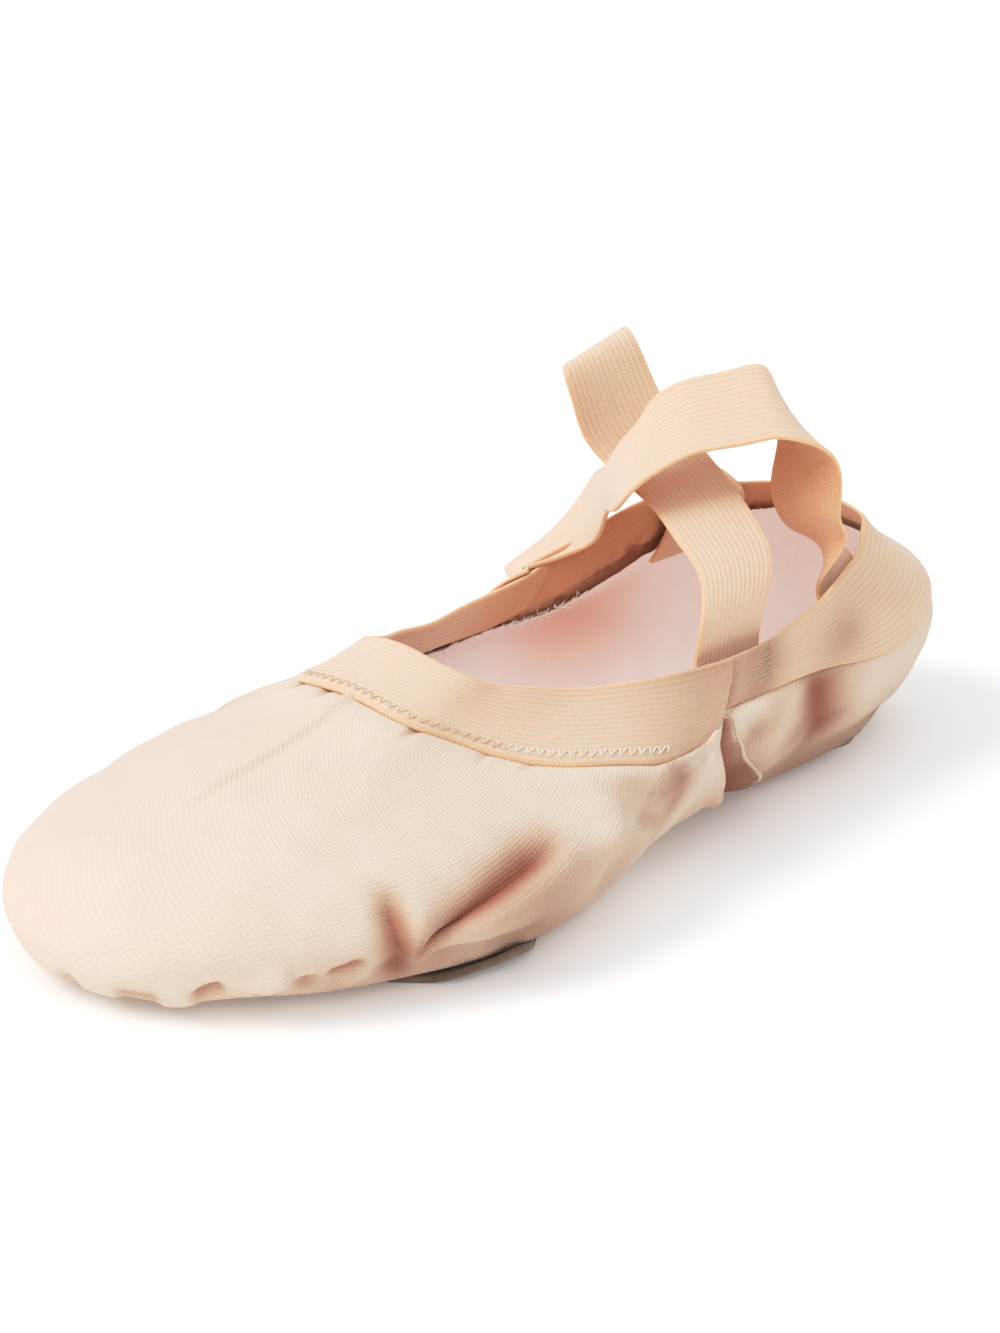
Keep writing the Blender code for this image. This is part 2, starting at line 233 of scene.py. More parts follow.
def curve_through(points, places, reads):
    """Smooth curve through points at their places along it, read at other places."""
    table = np.column_stack([places, points])
    return np.column_stack([curve(table, k, False)(reads) for k in range(1, table.shape[1])])


def grid_normals(points):
    """Outward normals of a grid whose rows run down and whose columns run round the shoe."""
    return unit(np.cross(np.gradient(points, axis=1), np.gradient(points, axis=0)))


def sole_edge(around):
    turn, side = ring(around)
    skew = TOE_SKEW * np.clip(2 * along(turn) - 1, 0, 1)**2
    return np.stack([along(turn) * LENGTH, side * edge_half(turn) + skew, edge_height(turn)], -1)


def rim(around):
    turn, side = ring(around)
    return np.stack([rim_x(turn), side * rim_half(turn) + RIM_SHIFT, rim_height(turn)], -1)


def side_profile(around, rows):
    """Side of the shoe from the rim down to the sole edge, one cubic per place round it."""
    turn, _ = ring(around)
    foot = sole_edge(around)
    top = rim(around)
    run = sole_edge(around + NUDGE) - sole_edge(around - NUDGE)
    out = unit(np.stack([-run[:, 1], run[:, 0], 0 * turn], -1))
    full = edge_full(turn)[:, None]
    height = (top - foot)[:, 2:]
    up = np.array([0.0, 0.0, 1.0])
    toeward = np.clip((along(turn) - TOE_SHAPE) / (1 - TOE_SHAPE), 0, 1)[:, None]
    inward = (foot - top) * (1, 1, 0)
    drop, lean = [heel + (toe - heel) * toeward for heel, toe in (TOP_DROP, TOP_LEAN)]
    low = foot + out * full * SPREAD + up * height * RISE
    high = (top + inward * lean + out * full * TOP_SPREAD * (1 - toeward)
            - up * height * drop)
    v = np.linspace(1, 0, rows)[:, None, None]
    return ((1 - v)**3 * foot + 3 * v * (1 - v)**2 * low + 3 * v * v * (1 - v) * high
            + v**3 * top)


def toe_spring(x):
    return TOE_SPRING * np.clip((x - SPRING_START) / (LENGTH - SPRING_START), 0, 1)**2


def floor_height(x):
    """Height of the canvas underside on the centre line."""
    share = np.clip((x - HEEL_END) / (FORE_END - HEEL_END), 0, 1)
    arch = ARCH_LIFT * np.sin(math.pi * share)**2
    return SUEDE + GAP + arch + toe_spring(x)


def spine(turn):
    return SPINE_HEEL + along(turn) * (SPINE_TOE - SPINE_HEEL)


def reach_to_spine(around):
    turn, _ = ring(around)
    foot = sole_edge(around)
    return np.hypot(foot[:, 0] - spine(turn), foot[:, 1])


def underside(around, inset):
    """Canvas underside, `inset` millimetres in from the sole edge towards the spine."""
    turn, _ = ring(around)
    foot = sole_edge(around)
    middle = np.stack([spine(turn), 0 * turn], -1)
    across = middle - foot[:, :2]
    reach = np.linalg.norm(across, axis=-1)
    plan = foot[:, :2] + across * np.minimum(inset / reach, 1.0)[..., None]
    height = rim(around)[:, 2] - foot[:, 2]
    slope = RISE * height / (SPREAD * edge_full(turn))
    base = floor_height(plan[..., 0])
    rise = foot[:, 2] - floor_height(foot[:, 0])
    curl = np.minimum(2 * rise / slope, PATCH_INSET)
    z = base + rise * np.clip(1 - inset / curl, 0, 1)**2
    return np.concatenate([plan, z[..., None]], -1)


SIDE_ROWS = 121
UNDER_ROWS = 49
UNDER_CROWD = 1.3         # the underside's rows crowd towards the sole edge


class Skin:
    """The shoe's outer surface at places round it, measured down from the rim in millimetres."""

    def __init__(self, around):
        reach = reach_to_spine(around)
        shares = np.linspace(0, 1, UNDER_ROWS)[1:]**UNDER_CROWD
        under = np.array([underside(around, reach * share) for share in shares])
        self.line = np.concatenate([side_profile(around, SIDE_ROWS), under])
        self.length = lengths(self.line)
        self.edge = self.length[SIDE_ROWS - 1]
        self.total = self.length[-1]

    def at(self, depth):
        """Points at depth (rows, places) below the rim."""
        return read_columns(depth, self.length, self.line)


# ---------------------------------------------------------------- meshes
def to_frame(points):
    return (np.asarray(points, float) - ORIGIN) * MM


def grid_faces(rows, columns, wrap_rows=False):
    """Quads of a grid, facing the way grid_normals points."""
    r, c = np.meshgrid(np.arange(rows if wrap_rows else rows - 1), np.arange(columns - 1),
                       indexing="ij")
    below = (r + 1) % rows * columns
    quads = np.stack([r * columns + c, below + c, below + c + 1, r * columns + c + 1], -1)
    return quads.reshape(-1, 4).tolist()


def corners(mesh):
    """The point at each corner of each face."""
    point = np.empty(len(mesh.loops), np.int32)
    mesh.loops.foreach_get("vertex_index", point)
    return point


def add_mesh(name, points, material, uv=None, marks=None, faces=None):
    """Piece from points in shoe millimetres, a grid of them where no faces are given.

    uv and marks hold one value for each point.
    """
    mesh = bpy.data.meshes.new(name)
    mesh.from_pydata(to_frame(points).reshape(-1, 3).tolist(), [],
                     faces or grid_faces(*points.shape[:2]))
    if uv is not None:
        layer = mesh.uv_layers.new(name="cloth")
        layer.data.foreach_set("uv", np.float32(uv).reshape(-1, 2)[corners(mesh)].ravel())
    for label, values in (marks or {}).items():
        mark = mesh.attributes.new(label, "FLOAT", "POINT")
        mark.data.foreach_set("value", np.float32(values).ravel())
    mesh.shade_smooth()
    mesh.materials.append(material)
    piece = bpy.data.objects.new(name, mesh)
    bpy.context.scene.collection.objects.link(piece)
    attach(piece, "root")
    return piece


THREAD_END = 0.55         # a thread's ends are this share of its thickness
SKEW = (0.31, 0.52, 0.80)    # a direction that no thread runs in


def tubes(name, paths, radius, material, sides):
    """Many short threads as one mesh, each path a list of its centre points."""
    points, faces = [], []
    base = 0
    angles = np.arange(sides) * 2 * math.pi / sides
    for path in paths:
        ahead = unit(np.gradient(path, axis=0))
        side = unit(np.cross(ahead, SKEW))
        lift = np.cross(side, ahead)
        taper = np.full(len(path), radius)
        taper[[0, -1]] *= THREAD_END
        rings = (path[:, None] + taper[:, None, None] * (
            side[:, None] * np.cos(angles)[None, :, None]
            + lift[:, None] * np.sin(angles)[None, :, None]))
        points.append(rings.reshape(-1, 3))
        last = base + (len(path) - 1) * sides
        for low in range(base, last, sides):
            for k in range(sides):
                n = (k + 1) % sides
                faces.append((low + k, low + n, low + sides + n, low + sides + k))
        faces.append(tuple(base + k for k in reversed(range(sides))))
        faces.append(tuple(last + k for k in range(sides)))
        base = last + sides
    return add_mesh(name, np.concatenate(points), material, faces=faces)


# ---------------------------------------------------------------- materials
class Nodes:
    """Short way to wire the nodes of a material or of the world."""

    def __init__(self, owner, shader="Principled BSDF"):
        owner.use_nodes = True
        self.owner = owner
        self.tree = owner.node_tree
        self.shader = self.tree.nodes[shader]

    def feed(self, socket, value):
        if isinstance(value, bpy.types.NodeSocket):
            self.tree.links.new(value, socket)
        else:
            socket.default_value = value

    def node(self, kind, inputs=(), output=0, **settings):
        node = self.tree.nodes.new(kind)
        for key, value in settings.items():
            setattr(node, key, value)
        for key, value in dict(inputs).items():
            self.feed(node.inputs[key], value)
        return node.outputs[output]

    def math(self, operation, *values):
        return self.node("ShaderNodeMath", dict(enumerate(values)), operation=operation)

    def plus(self, a, b):
        return self.math("ADD", a, b)

    def times(self, a, b):
        return self.math("MULTIPLY", a, b)

    def scaled(self, a, scale, plus):
        return self.math("MULTIPLY_ADD", a, scale, plus)

    def less(self, a, b):
        return self.math("SUBTRACT", a, b)

    def ramp(self, value, low, high):
        """0 below low, 1 above high, smooth between."""
        return self.node("ShaderNodeMapRange", {"Value": value, "From Min": low,
                                                "From Max": high},
                         interpolation_type="SMOOTHSTEP")

    def mix(self, share, *colours):
        node = self.tree.nodes.new("ShaderNodeMix")
        node.data_type = "RGBA"
        self.feed(node.inputs["Factor"], share)
        sockets = [s for s in node.inputs if s.type == "RGBA"]
        for socket, colour in zip(sockets, colours):
            plain = isinstance(colour, tuple)
            self.feed(socket, (*colour, 1.0) if plain else colour)
        return [s for s in node.outputs if s.type == "RGBA"][0]

    def mark(self, name):
        return self.node("ShaderNodeAttribute", output="Fac", attribute_name=name)

    def cloth(self):
        """The piece's own cloth coordinates, in millimetres."""
        uv = self.node("ShaderNodeUVMap", uv_map="cloth")
        split = self.node("ShaderNodeSeparateXYZ", {0: uv}).node
        return split.outputs[0], split.outputs[1]

    def noise(self, scale, detail=2.0, rough=0.5):
        """Soft random patches over the shoe, scale of them to a metre."""
        where = self.node("ShaderNodeTexCoord", output="Object")
        return self.node("ShaderNodeTexNoise", {"Vector": where, "Scale": scale,
                                                "Detail": detail, "Roughness": rough})

    def wave(self, coordinate, pitch):
        """Cosine along a coordinate, from 0 to 1."""
        turned = self.times(coordinate, 2 * math.pi / pitch)
        return self.scaled(self.math("COSINE", turned), 0.5, 0.5)

    def set(self, **values):
        for key, value in values.items():
            self.feed(self.shader.inputs[key.replace("_", " ")], value)

    def bump(self, height, distance, strength):
        self.set(Normal=self.node("ShaderNodeBump", {"Height": height, "Distance": distance,
                                                     "Strength": strength}))


WEAVE_PITCH = 1.22
CORD_PITCH = 1.24
PICK_PITCH = 0.70
KNIT_PITCH = (0.75, 0.95)
LINING_PAINTED_GLOW = 0.07        # painted light: a faint glow that lifts the inside, in place of light coming through the thin cotton
CANVAS_TONES = ((0.740, 0.560, 0.440), (0.755, 0.590, 0.475))
CANVAS_GAPS = (0.68, 0.38, 0.25)         # between the threads
CANVAS_SHADE = (0.40, 0.236, 0.168)      # painted shade patches
CANVAS_HOLLOW_SHADE = (0.29, 0.100, 0.056)       # painted shade in the creases, the pocket and the puckers
ELASTIC_TONES = ((0.70, 0.450, 0.312), (0.745, 0.542, 0.415))
ELASTIC_BLOTCH = (0.76, 0.54, 0.41)
ELASTIC_EDGE = (0.76, 0.46, 0.29)
# painted shade on the inside face of the elastic
ELASTIC_INSIDE_SHADE = (0.64, 0.31, 0.165)
# painted shade near the near joint and in a dip of the heel elastic
ELASTIC_SHADE = (0.46, 0.285, 0.205)
# painted shade along the lining's edge
ELASTIC_LINING_EDGE_SHADE = (0.36, 0.11, 0.06)
LINING_TONES = ((0.94, 0.80, 0.765), (0.96, 0.875, 0.86))
# painted shadow colour on the lining
LINING_SHADOW = (0.80, 0.43, 0.34)
SUEDE_TONES = ((0.185, 0.125, 0.085), (0.30, 0.220, 0.160))
SUEDE_NAP = (0.40, 0.33, 0.27)
SUEDE_WORN = (0.46, 0.37, 0.30)
THREAD_DARK = 0.86        # a thread's darker half, against its lighter
CANVAS_RELIEF = 0.00016   # depth of each cloth's texture, in metres
ELASTIC_RELIEF = 0.00012
LINING_RELIEF = 0.00010
SUEDE_RELIEF = 0.0003
THREAD_RELIEF = 0.00005


def canvas_material():
    n = Nodes(bpy.data.materials.new("canvas_pink_cloth"))
    u, v = n.cloth()
    shift = n.scaled(n.noise(420.0), 0.5, -0.25)
    warp = n.wave(n.plus(u, shift), WEAVE_PITCH)
    weft = n.wave(n.less(v, shift), WEAVE_PITCH)
    checks = n.plus(n.times(warp, weft), n.times(n.less(1.0, warp), n.less(1.0, weft)))
    height = n.scaled(n.noise(260.0, 3.0, 0.6), 0.55, checks)
    height = n.scaled(n.noise(3200.0, 2.0, 0.7), 0.3, height)
    colour = n.mix(n.ramp(n.noise(38.0, 3.0, 0.55), 0.30, 0.72), *CANVAS_TONES)
    # darker colour between the threads, stronger where the painted shade lies
    gaps = n.times(n.less(1.0, n.ramp(checks, 0.10, 0.65)), n.scaled(n.mark("shade"), 0.22, 0.15))
    colour = n.mix(gaps, colour, CANVAS_GAPS)
    # painted shade: warm darker patches where the canvas lies in shade
    colour = n.mix(n.mark("shade"), colour, CANVAS_SHADE)
    # painted shade in the creases, the pocket and the puckers
    colour = n.mix(n.mark("painted_hollow_shade"), colour, CANVAS_HOLLOW_SHADE)
    n.set(Base_Color=colour, Roughness=0.92, Sheen_Weight=0.15, Sheen_Roughness=0.6,
          Sheen_Tint=(1.0, 0.93, 0.88, 1.0), Specular_IOR_Level=0.2)
    n.bump(height, CANVAS_RELIEF, 0.9)
    return n.owner


def elastic_material():
    """Ribbed elastic: cords along it, weft across, deeper colour at its selvedges, painted shade
    inside and in patches.
    """
    n = Nodes(bpy.data.materials.new("elastic_peach_web"))
    u, v = n.cloth()
    shift = n.scaled(n.noise(300.0), 0.30, -0.15)
    cord = n.wave(n.scaled(shift, 0.4, v), CORD_PITCH)
    pick = n.wave(n.plus(u, shift), PICK_PITCH)
    height = n.scaled(cord, 0.75, n.times(pick, 0.5))
    height = n.scaled(n.noise(2600.0, 2.0, 0.7), 0.25, height)
    lit = n.times(n.ramp(cord, 0.0, 0.70), n.scaled(pick, 0.40, 0.60))
    blotch = n.times(n.ramp(n.noise(55.0), 0.35, 0.75), 0.30)
    # painted shade along the lining's edge, in smudges
    lining_edge_shaded = n.times(n.mark("lining_edge_shade"), n.ramp(n.noise(330.0, 3.0, 0.6), 0.35, 0.60))
    colour = n.mix(lit, *ELASTIC_TONES)
    # inner, shade and lining-edge marks are painted shade; blotches and selvedges are the
    # elastic's own colour
    for share, tint in ((blotch, ELASTIC_BLOTCH),
                        (n.times(n.mark("selvedge"), 0.7), ELASTIC_EDGE),
                        (n.mark("inner"), ELASTIC_INSIDE_SHADE),
                        (n.mark("shade"), ELASTIC_SHADE),
                        (lining_edge_shaded, ELASTIC_LINING_EDGE_SHADE)):
        colour = n.mix(share, colour, tint)
    n.set(Base_Color=colour, Roughness=0.72, Sheen_Weight=0.12, Sheen_Roughness=0.5,
          Specular_IOR_Level=0.3, Subsurface_Weight=0.8,
          Subsurface_Radius=(1.0, 0.45, 0.25), Subsurface_Scale=0.0011)
    n.bump(height, ELASTIC_RELIEF, 0.9)
    return n.owner


def lining_material():
    n = Nodes(bpy.data.materials.new("lining_cotton"))
    rib, course = [n.wave(place, pitch) for place, pitch in zip(n.cloth(), KNIT_PITCH)]
    height = n.scaled(rib, 0.6, n.times(course, 0.35))
    height = n.scaled(n.noise(700.0, 3.0, 0.7), 0.8, height)
    colour = n.mix(n.ramp(n.noise(30.0, 3.0, 0.6), 0.3, 0.75), *LINING_TONES)
    # painted red shadow on the far wall, and painted shade along the gathered top
    colour = n.mix(n.mark("painted_lining_shadow"), colour, LINING_SHADOW)
    # the emission is painted light that brightens the inside
    n.set(Base_Color=colour, Roughness=0.95, Sheen_Weight=0.3, Sheen_Roughness=0.6,
          Specular_IOR_Level=0.15, Emission_Color=(1.0, 0.86, 0.82, 1.0),
          Emission_Strength=LINING_PAINTED_GLOW)
    n.bump(height, LINING_RELIEF, 0.6)
    return n.owner


def suede_material():
    n = Nodes(bpy.data.materials.new("suede_taupe_nap"))
    nap = n.noise(1500.0, 4.0, 0.75)
    patches = n.noise(90.0, 4.0, 0.6)
    colour = n.mix(n.ramp(patches, 0.3, 0.7), *SUEDE_TONES)
    colour = n.mix(n.times(n.ramp(nap, 0.4, 0.75), 0.4), colour, SUEDE_NAP)
    colour = n.mix(n.times(n.mark("wear_and_dip_shade"), 0.75), colour, SUEDE_WORN)
    n.set(Base_Color=colour, Roughness=1.0, Sheen_Weight=0.35, Sheen_Roughness=0.45,
          Specular_IOR_Level=0.1)
    n.bump(n.scaled(patches, 0.6, nap), SUEDE_RELIEF, 0.9)
    return n.owner


def thread_material(name, colour):
    n = Nodes(bpy.data.materials.new(name))
    twist = n.noise(1800.0, 2.0, 0.6)
    n.set(Base_Color=n.mix(twist, tuple(THREAD_DARK * c for c in colour), colour),
          Roughness=0.6, Sheen_Weight=0.2, Specular_IOR_Level=0.35)
    n.bump(twist, THREAD_RELIEF, 0.6)
    return n.owner


canvas_cloth = canvas_material()
elastic_web = elastic_material()
lining_cloth = lining_material()
suede_nap = suede_material()
pale_thread = thread_material("thread_pale", (0.90, 0.80, 0.70))
canvas_thread = thread_material("thread_canvas", (0.76, 0.58, 0.46))
dull_thread = thread_material("thread_dull", (0.66, 0.47, 0.35))
peach_thread = thread_material("thread_peach", (0.76, 0.56, 0.43))


# ---------------------------------------------------------------- creases in the canvas
# A crease is a soft line on the canvas from its top down, at places (turn, drop): turn is the
# share of the way from heel to toe, drop the millimetres below the rim.  A level crease runs
# from the heel end to the toe end.  Height is along the outward normal, so troughs are below
# zero; the first width is on the toe (or upper) side, the second on the other.  A row may leave
# out its last ones: its painted shade, how sharp it is, and how far its lip laps over.
CREASES = (
    # side, places, height, widths, painted shade, sharp, lap
    # ball of the foot, near side
    (1, ((0.772, 62.0), (0.752, 69.0), (0.729, 76.5), (0.714, 84.0), (0.700, 93.0)),
     -2.6, (4.2, 3.2), 0.88, 0.4),
    (1, ((0.735, 66.0), (0.722, 73.0), (0.708, 80.0), (0.700, 88.0)), 1.6, (3.2, 3.0)),
    (1, ((0.645, 43.0), (0.6567, 50.8), (0.6767, 62.4), (0.6933, 70.8), (0.700, 80.4),
         (0.703, 87.0)), -3.9, (6.2, 3.4), 1.0, 0.45, 1.6),
    (1, ((0.622, 49.0), (0.640, 58.0), (0.662, 69.0), (0.680, 77.0)), 1.6, (3.4, 5.0)),
    (1, ((0.595, 72.0), (0.620, 76.0), (0.660, 81.0), (0.700, 85.0)), -2.6, (4.0, 6.0)),
    # behind the ball
    (1, ((0.617, 33.0), (0.602, 44.0), (0.588, 55.0)), 1.4, (4.0, 3.0)),
    (1, ((0.592, 29.5), (0.568, 38.8), (0.541, 49.0)), -2.2, (6.6, 5.4), 0.15),
    (1, ((0.583, 28.5), (0.553, 33.5), (0.500, 43.5)), 1.0, (3.0, 3.0)),
    (1, ((0.560, 26.0), (0.536, 35.0), (0.500, 47.0)), -1.7, (6.5, 5.5), 0.50),
    # behind the arch seam
    (1, ((0.462, 20.0), (0.425, 33.0), (0.385, 46.0)), -1.4, (4.4, 4.0), 0.25),
    (1, ((0.475, 12.0), (0.425, 26.8), (0.3617, 40.0)), 1.2, (4.0, 4.4)),
    (1, ((0.402, 10.0), (0.3717, 20.0), (0.345, 28.0), (0.305, 40.0)), -2.2, (7.0, 8.0), 1.0),
    (1, ((0.310, 20.0), (0.290, 30.0), (0.270, 40.0)), 0.8, (5.0, 5.0)),
    # tucks under the toe, near side
    (1, ((0.890, 107.0), (0.915, 108.0), (0.945, 109.2)), -1.6, (4.0, 3.0), 0.42),
    (1, ((0.872, 99.0), (0.868, 108.0)), 0.9, (3.6, 3.6)),
    (1, ((0.832, 99.6), (0.846, 101.4), (0.864, 104.6)), -2.3, (3.4, 3.0), 0.60, 0.1),
    (1, ((0.818, 93.0), (0.812, 102.0)), 1.2, (3.4, 3.4)),
    (1, ((0.792, 97.6), (0.802, 99.4), (0.812, 101.2)), -1.6, (3.0, 3.0), 0.45),
    (1, ((0.786, 90.0), (0.798, 92.6), (0.805, 97.0)), 2.0, (3.4, 3.4)),
    (1, ((0.771, 88.0), (0.774, 92.0), (0.772, 98.0)), -1.8, (2.2, 2.2), 0.4, 0.2),
    (1, ((0.740, 82.0), (0.753, 86.4), (0.764, 89.0)), -1.9, (2.0, 2.4), 0.7, 0.3),
    (1, ((0.728, 86.0), (0.742, 90.0), (0.752, 94.0)), 1.2, (2.2, 2.6)),
    (1, ((0.975, 109.6), (1.000, 110.0)), -1.2, (3.0, 3.0), 0.30),
    # far side
    (-1, ((0.760, 62.0), (0.745, 72.0), (0.722, 84.0)), -1.8, (5.0, 4.6), 0.35, 0.1),
    (-1, ((0.640, 46.0), (0.668, 60.0), (0.690, 74.0)), -2.2, (6.0, 5.0), 0.40, 0.1),
    (-1, ((0.620, 62.0), (0.650, 72.0), (0.672, 80.0)), 1.2, (5.0, 5.0)),
    (-1, ((0.590, 36.0), (0.565, 46.0), (0.545, 58.0)), -1.8, (6.0, 6.0), 0.30),
    (-1, ((0.520, 34.0), (0.495, 42.0), (0.470, 50.0)), -1.6, (6.0, 5.4), 0.35),
    (-1, ((0.350, 24.0), (0.320, 34.0), (0.300, 42.0)), -1.6, (6.5, 6.5), 0.40),
    (-1, ((0.800, 93.0), (0.815, 96.0)), -1.6, (2.2, 3.0), 0.4, 0.2),
    (-1, ((0.862, 99.0), (0.880, 101.0)), -1.5, (2.0, 3.0), 0.4, 0.2),
    (-1, ((0.915, 102.6), (0.930, 103.6)), -1.5, (2.0, 3.0), 0.4, 0.2),
    # round the heel
    (-1, ((0.150, 44.0), (0.156, 53.0)), -1.2, (2.6, 2.6), 0.3, 0.2),
    (-1, ((0.100, 45.0), (0.104, 54.0)), -1.2, (2.6, 2.6), 0.3, 0.2),
    (1, ((0.060, 46.0), (0.064, 55.0)), -1.2, (2.6, 2.6), 0.3, 0.2),
    (1, ((0.180, 42.0), (0.186, 51.0)), -1.0, (2.6, 2.6), 0.3, 0.2),
)
# Painted shade, warm patches: near side first, soft ovals as (turn, drop) with their reach either
# way.
SHADES = (
    # side  turn   drop   reach  reach  strength
    (1, 0.620, 70.0, 0.060, 18.0, 0.90),
    (1, 0.690, 84.0, 0.050, 9.0, 0.70),
    (1, 0.560, 58.0, 0.040, 14.0, 0.60),
    (1, 0.550, 36.0, 0.035, 11.0, 0.50),
    (1, 0.290, 48.0, 0.150, 13.0, 1.0),
    (1, 0.400, 36.0, 0.060, 14.0, 0.35),
    (1, 0.355, 25.0, 0.045, 13.0, 0.55),
    (1, 0.525, 46.0, 0.030, 12.0, 0.55),
    (1, 0.180, 50.0, 0.090, 8.0, 0.80),
    (1, 0.750, 90.0, 0.040, 8.0, 0.45),
    (1, 0.672, 62.0, 0.022, 15.0, 0.35),
    (1, 0.440, 30.0, 0.035, 13.0, 0.55),
    (1, 0.606, 37.0, 0.030, 12.0, 0.35),
    (1, 0.365, 34.0, 0.035, 8.0, 0.75),
    (-1, 0.600, 66.0, 0.080, 16.0, 0.60),
    (-1, 0.300, 46.0, 0.150, 11.0, 0.60),
)
# The deep pocket where the front canvas rolls over the arch seam.
POCKET = (
    # drop  turn of the roll  turn of the seam  depth
    (13.0,  0.5220,  0.5190,  0.0),
    (17.0,  0.5210,  0.5090,  2.2),
    (21.6,  0.5180,  0.4960,  3.6),
    (26.0,  0.5080,  0.4800,  4.4),
    (33.0,  0.4840,  0.4430,  4.8),
    (42.0,  0.4360,  0.3870,  4.6),
    (48.0,  0.4120,  0.3660,  3.8),
    (58.0,  0.3900,  0.3500,  1.8),
    (70.0,  0.3800,  0.3400,  0.0),
)
ROLL_HEIGHT = 1.3         # the canvas ahead of the pocket rolls up,
ROLL_WIDTH = 3.4
ROLL_SLIDE = 0.6          # and a little over it
FLOOR_RISE = 0.90         # how much of its depth the pocket loses towards the seam,
BEHIND_SEAM = 0.08        # and what is left of it behind the seam
# painted shade in the puckers below the elastic
PUCKER_SHADE = 0.35
BAND_EDGE = (
    # around  drop of the front elastic's lower edge
    (0.48, 20.0), (0.532, 22.4), (0.557, 25.6), (0.577, 26.8), (0.620, 25.2), (0.683, 24.2),
    (0.738, 22.0), (0.805, 19.4), (0.912, 18.0), (1.000, 17.2), (1.100, 18.0), (1.250, 20.0),
    (1.520, 20.0),
)
HEEL_EDGE = (
    # around  drop of the heel elastic's lower edge
    (-0.52, 20.0), (-0.20, 21.0), (0.00, 21.4), (0.200, 21.4), (0.295, 20.4), (0.392, 15.4),
    (0.463, 13.4), (0.540, 13.0),
)
NEAR_JOINT = 0.524
FAR_JOINT = 1.50


def smooth_table(table, column, place):
    """Smooth reading of a table's column, without overshoot."""
    knots = np.array([row[0] for row in table])
    values = np.array([row[column] for row in table])
    place = np.clip(place, knots[0], knots[-1])
    i = np.clip(np.searchsorted(knots, place, side="right") - 1, 0, len(knots) - 2)
    share = (place - knots[i]) / (knots[i + 1] - knots[i])
    slope = np.gradient(values, knots)
    span = knots[i + 1] - knots[i]
    return ((2 * share**3 - 3 * share**2 + 1) * values[i]
            + (share**3 - 2 * share**2 + share) * span * slope[i]
            + (3 * share**2 - 2 * share**3) * values[i + 1]
            + (share**3 - share**2) * span * slope[i + 1])


def band_edge(around):
    """Drop of the elastic's lower edge at places from 0 to 2 round the shoe."""
    around = np.mod(around, 2.0)
    turned = np.where(around > 1.2, around - 2.0, around)
    heel = (around < NEAR_JOINT) | (around > FAR_JOINT)
    return np.where(heel, smooth_table(HEEL_EDGE, 1, turned),
                    smooth_table(BAND_EDGE, 1, around))


def soft_band_edge(around, least=False):
    """The elastic's lower edge blurred across the joints; least takes the higher side."""
    if not least:
        return np.mean([band_edge(around + step) for step in np.linspace(-0.022, 0.022, 12)], 0)
    return np.mean([np.min([band_edge(around + step + more)
                            for more in np.linspace(-0.03, 0.03, 13)], axis=0)
                    for step in np.linspace(-0.02, 0.02, 9)], 0)


FAR_TUCK = (
    # drop  how far the far wall is drawn in below the flared rim
    (0.0, 0.0), (9.0, 4.2), (16.0, 4.4), (22.0, 3.0), (32.0, 0.0),
)


def far_tuck(around, depth):
    """The far side's rim flares: below it the cloth is drawn in by this many millimetres."""
    around = np.mod(around, 2.0)
    place = smooth(1.27, 1.40, around) * smooth(1.74, 1.54, around)
    return place * np.interp(depth, *np.array(FAR_TUCK).T)


CREASE_STEPS = 48         # places along a crease
SHARP_WIDTH = 0.6         # widths of a crease's sharp part, of its painted shade and of its lip, and the lip's distance from it, as shares of the crease's own width
HOLLOW_SHADE_WIDTH = 0.85        # the lip's distance from it, as shares of the crease's own width
LIP_WIDTH = 0.6
LIP_OFF = 0.7


def crease_line(side, places):
    """Smooth line of points on the skin through (turn, drop) places."""
    turns, drops = np.array(places).T
    spots = Skin(turns if side > 0 else 2.0 - turns).at(drops[None])[0]
    run = lengths(spots)
    return curve_through(spots, run, np.linspace(0, run[-1], CREASE_STEPS))


def crease(points, normals, side, places, height, widths, hollow_shade=0.0, sharp=0.0, lap=0.0):
    """One crease's shift along the normal, its sideways shift, and its painted shade, at the
    points.
    """
    line = crease_line(side, places)
    middle = line.mean(0)
    reach = np.linalg.norm(line - middle, axis=1).max() + 4 * max(widths)
    near = np.linalg.norm(points - middle, axis=-1) < reach
    spot = points[near]
    square = ((spot[:, None] - line[None]) ** 2).sum(-1)
    nearest = square.argmin(1)
    ahead = unit(np.gradient(line, axis=0))
    across = side * np.cross(ahead[nearest], normals[near])
    off = ((spot - line[nearest]) * across).sum(-1)
    gap = np.sqrt(square.min(1))
    wide = np.where(off > 0, *widths)
    profile = ((1 - sharp) * np.exp(-(gap / wide) ** 2)
               + sharp * np.exp(-gap / (SHARP_WIDTH * wide)))
    share = nearest / (len(line) - 1)
    taper = smooth(0, 0.3, share + 0.02) * smooth(1.0, 0.75, share - 0.02)
    lip = np.exp(-((off - LIP_OFF * widths[0]) / (LIP_WIDTH * widths[0])) ** 2)
    shift = np.zeros(points.shape[:-1])
    slide = np.zeros(points.shape)
    tint = np.zeros(points.shape[:-1])
    shift[near] = height * profile * taper
    slide[near] = -across * (lap * lip * taper * smooth(0.35, 0.75, share))[:, None]
    tint[near] = hollow_shade * np.exp(-(gap / (HOLLOW_SHADE_WIDTH * wide)) ** 2) * taper
    return shift, slide, tint


# painted shade patches, read from the SHADES table
def shades(around, depth):
    turn, side = ring(around)
    tint = np.zeros(np.broadcast_shapes(around.shape, depth.shape))
    for half, middle, drop, reach, tall, strength in SHADES:
        spot = np.exp(-((turn - middle) / reach) ** 2 - ((depth - drop) / tall) ** 2)
        tint = np.maximum(tint, strength * spot * (side == half))
    return tint


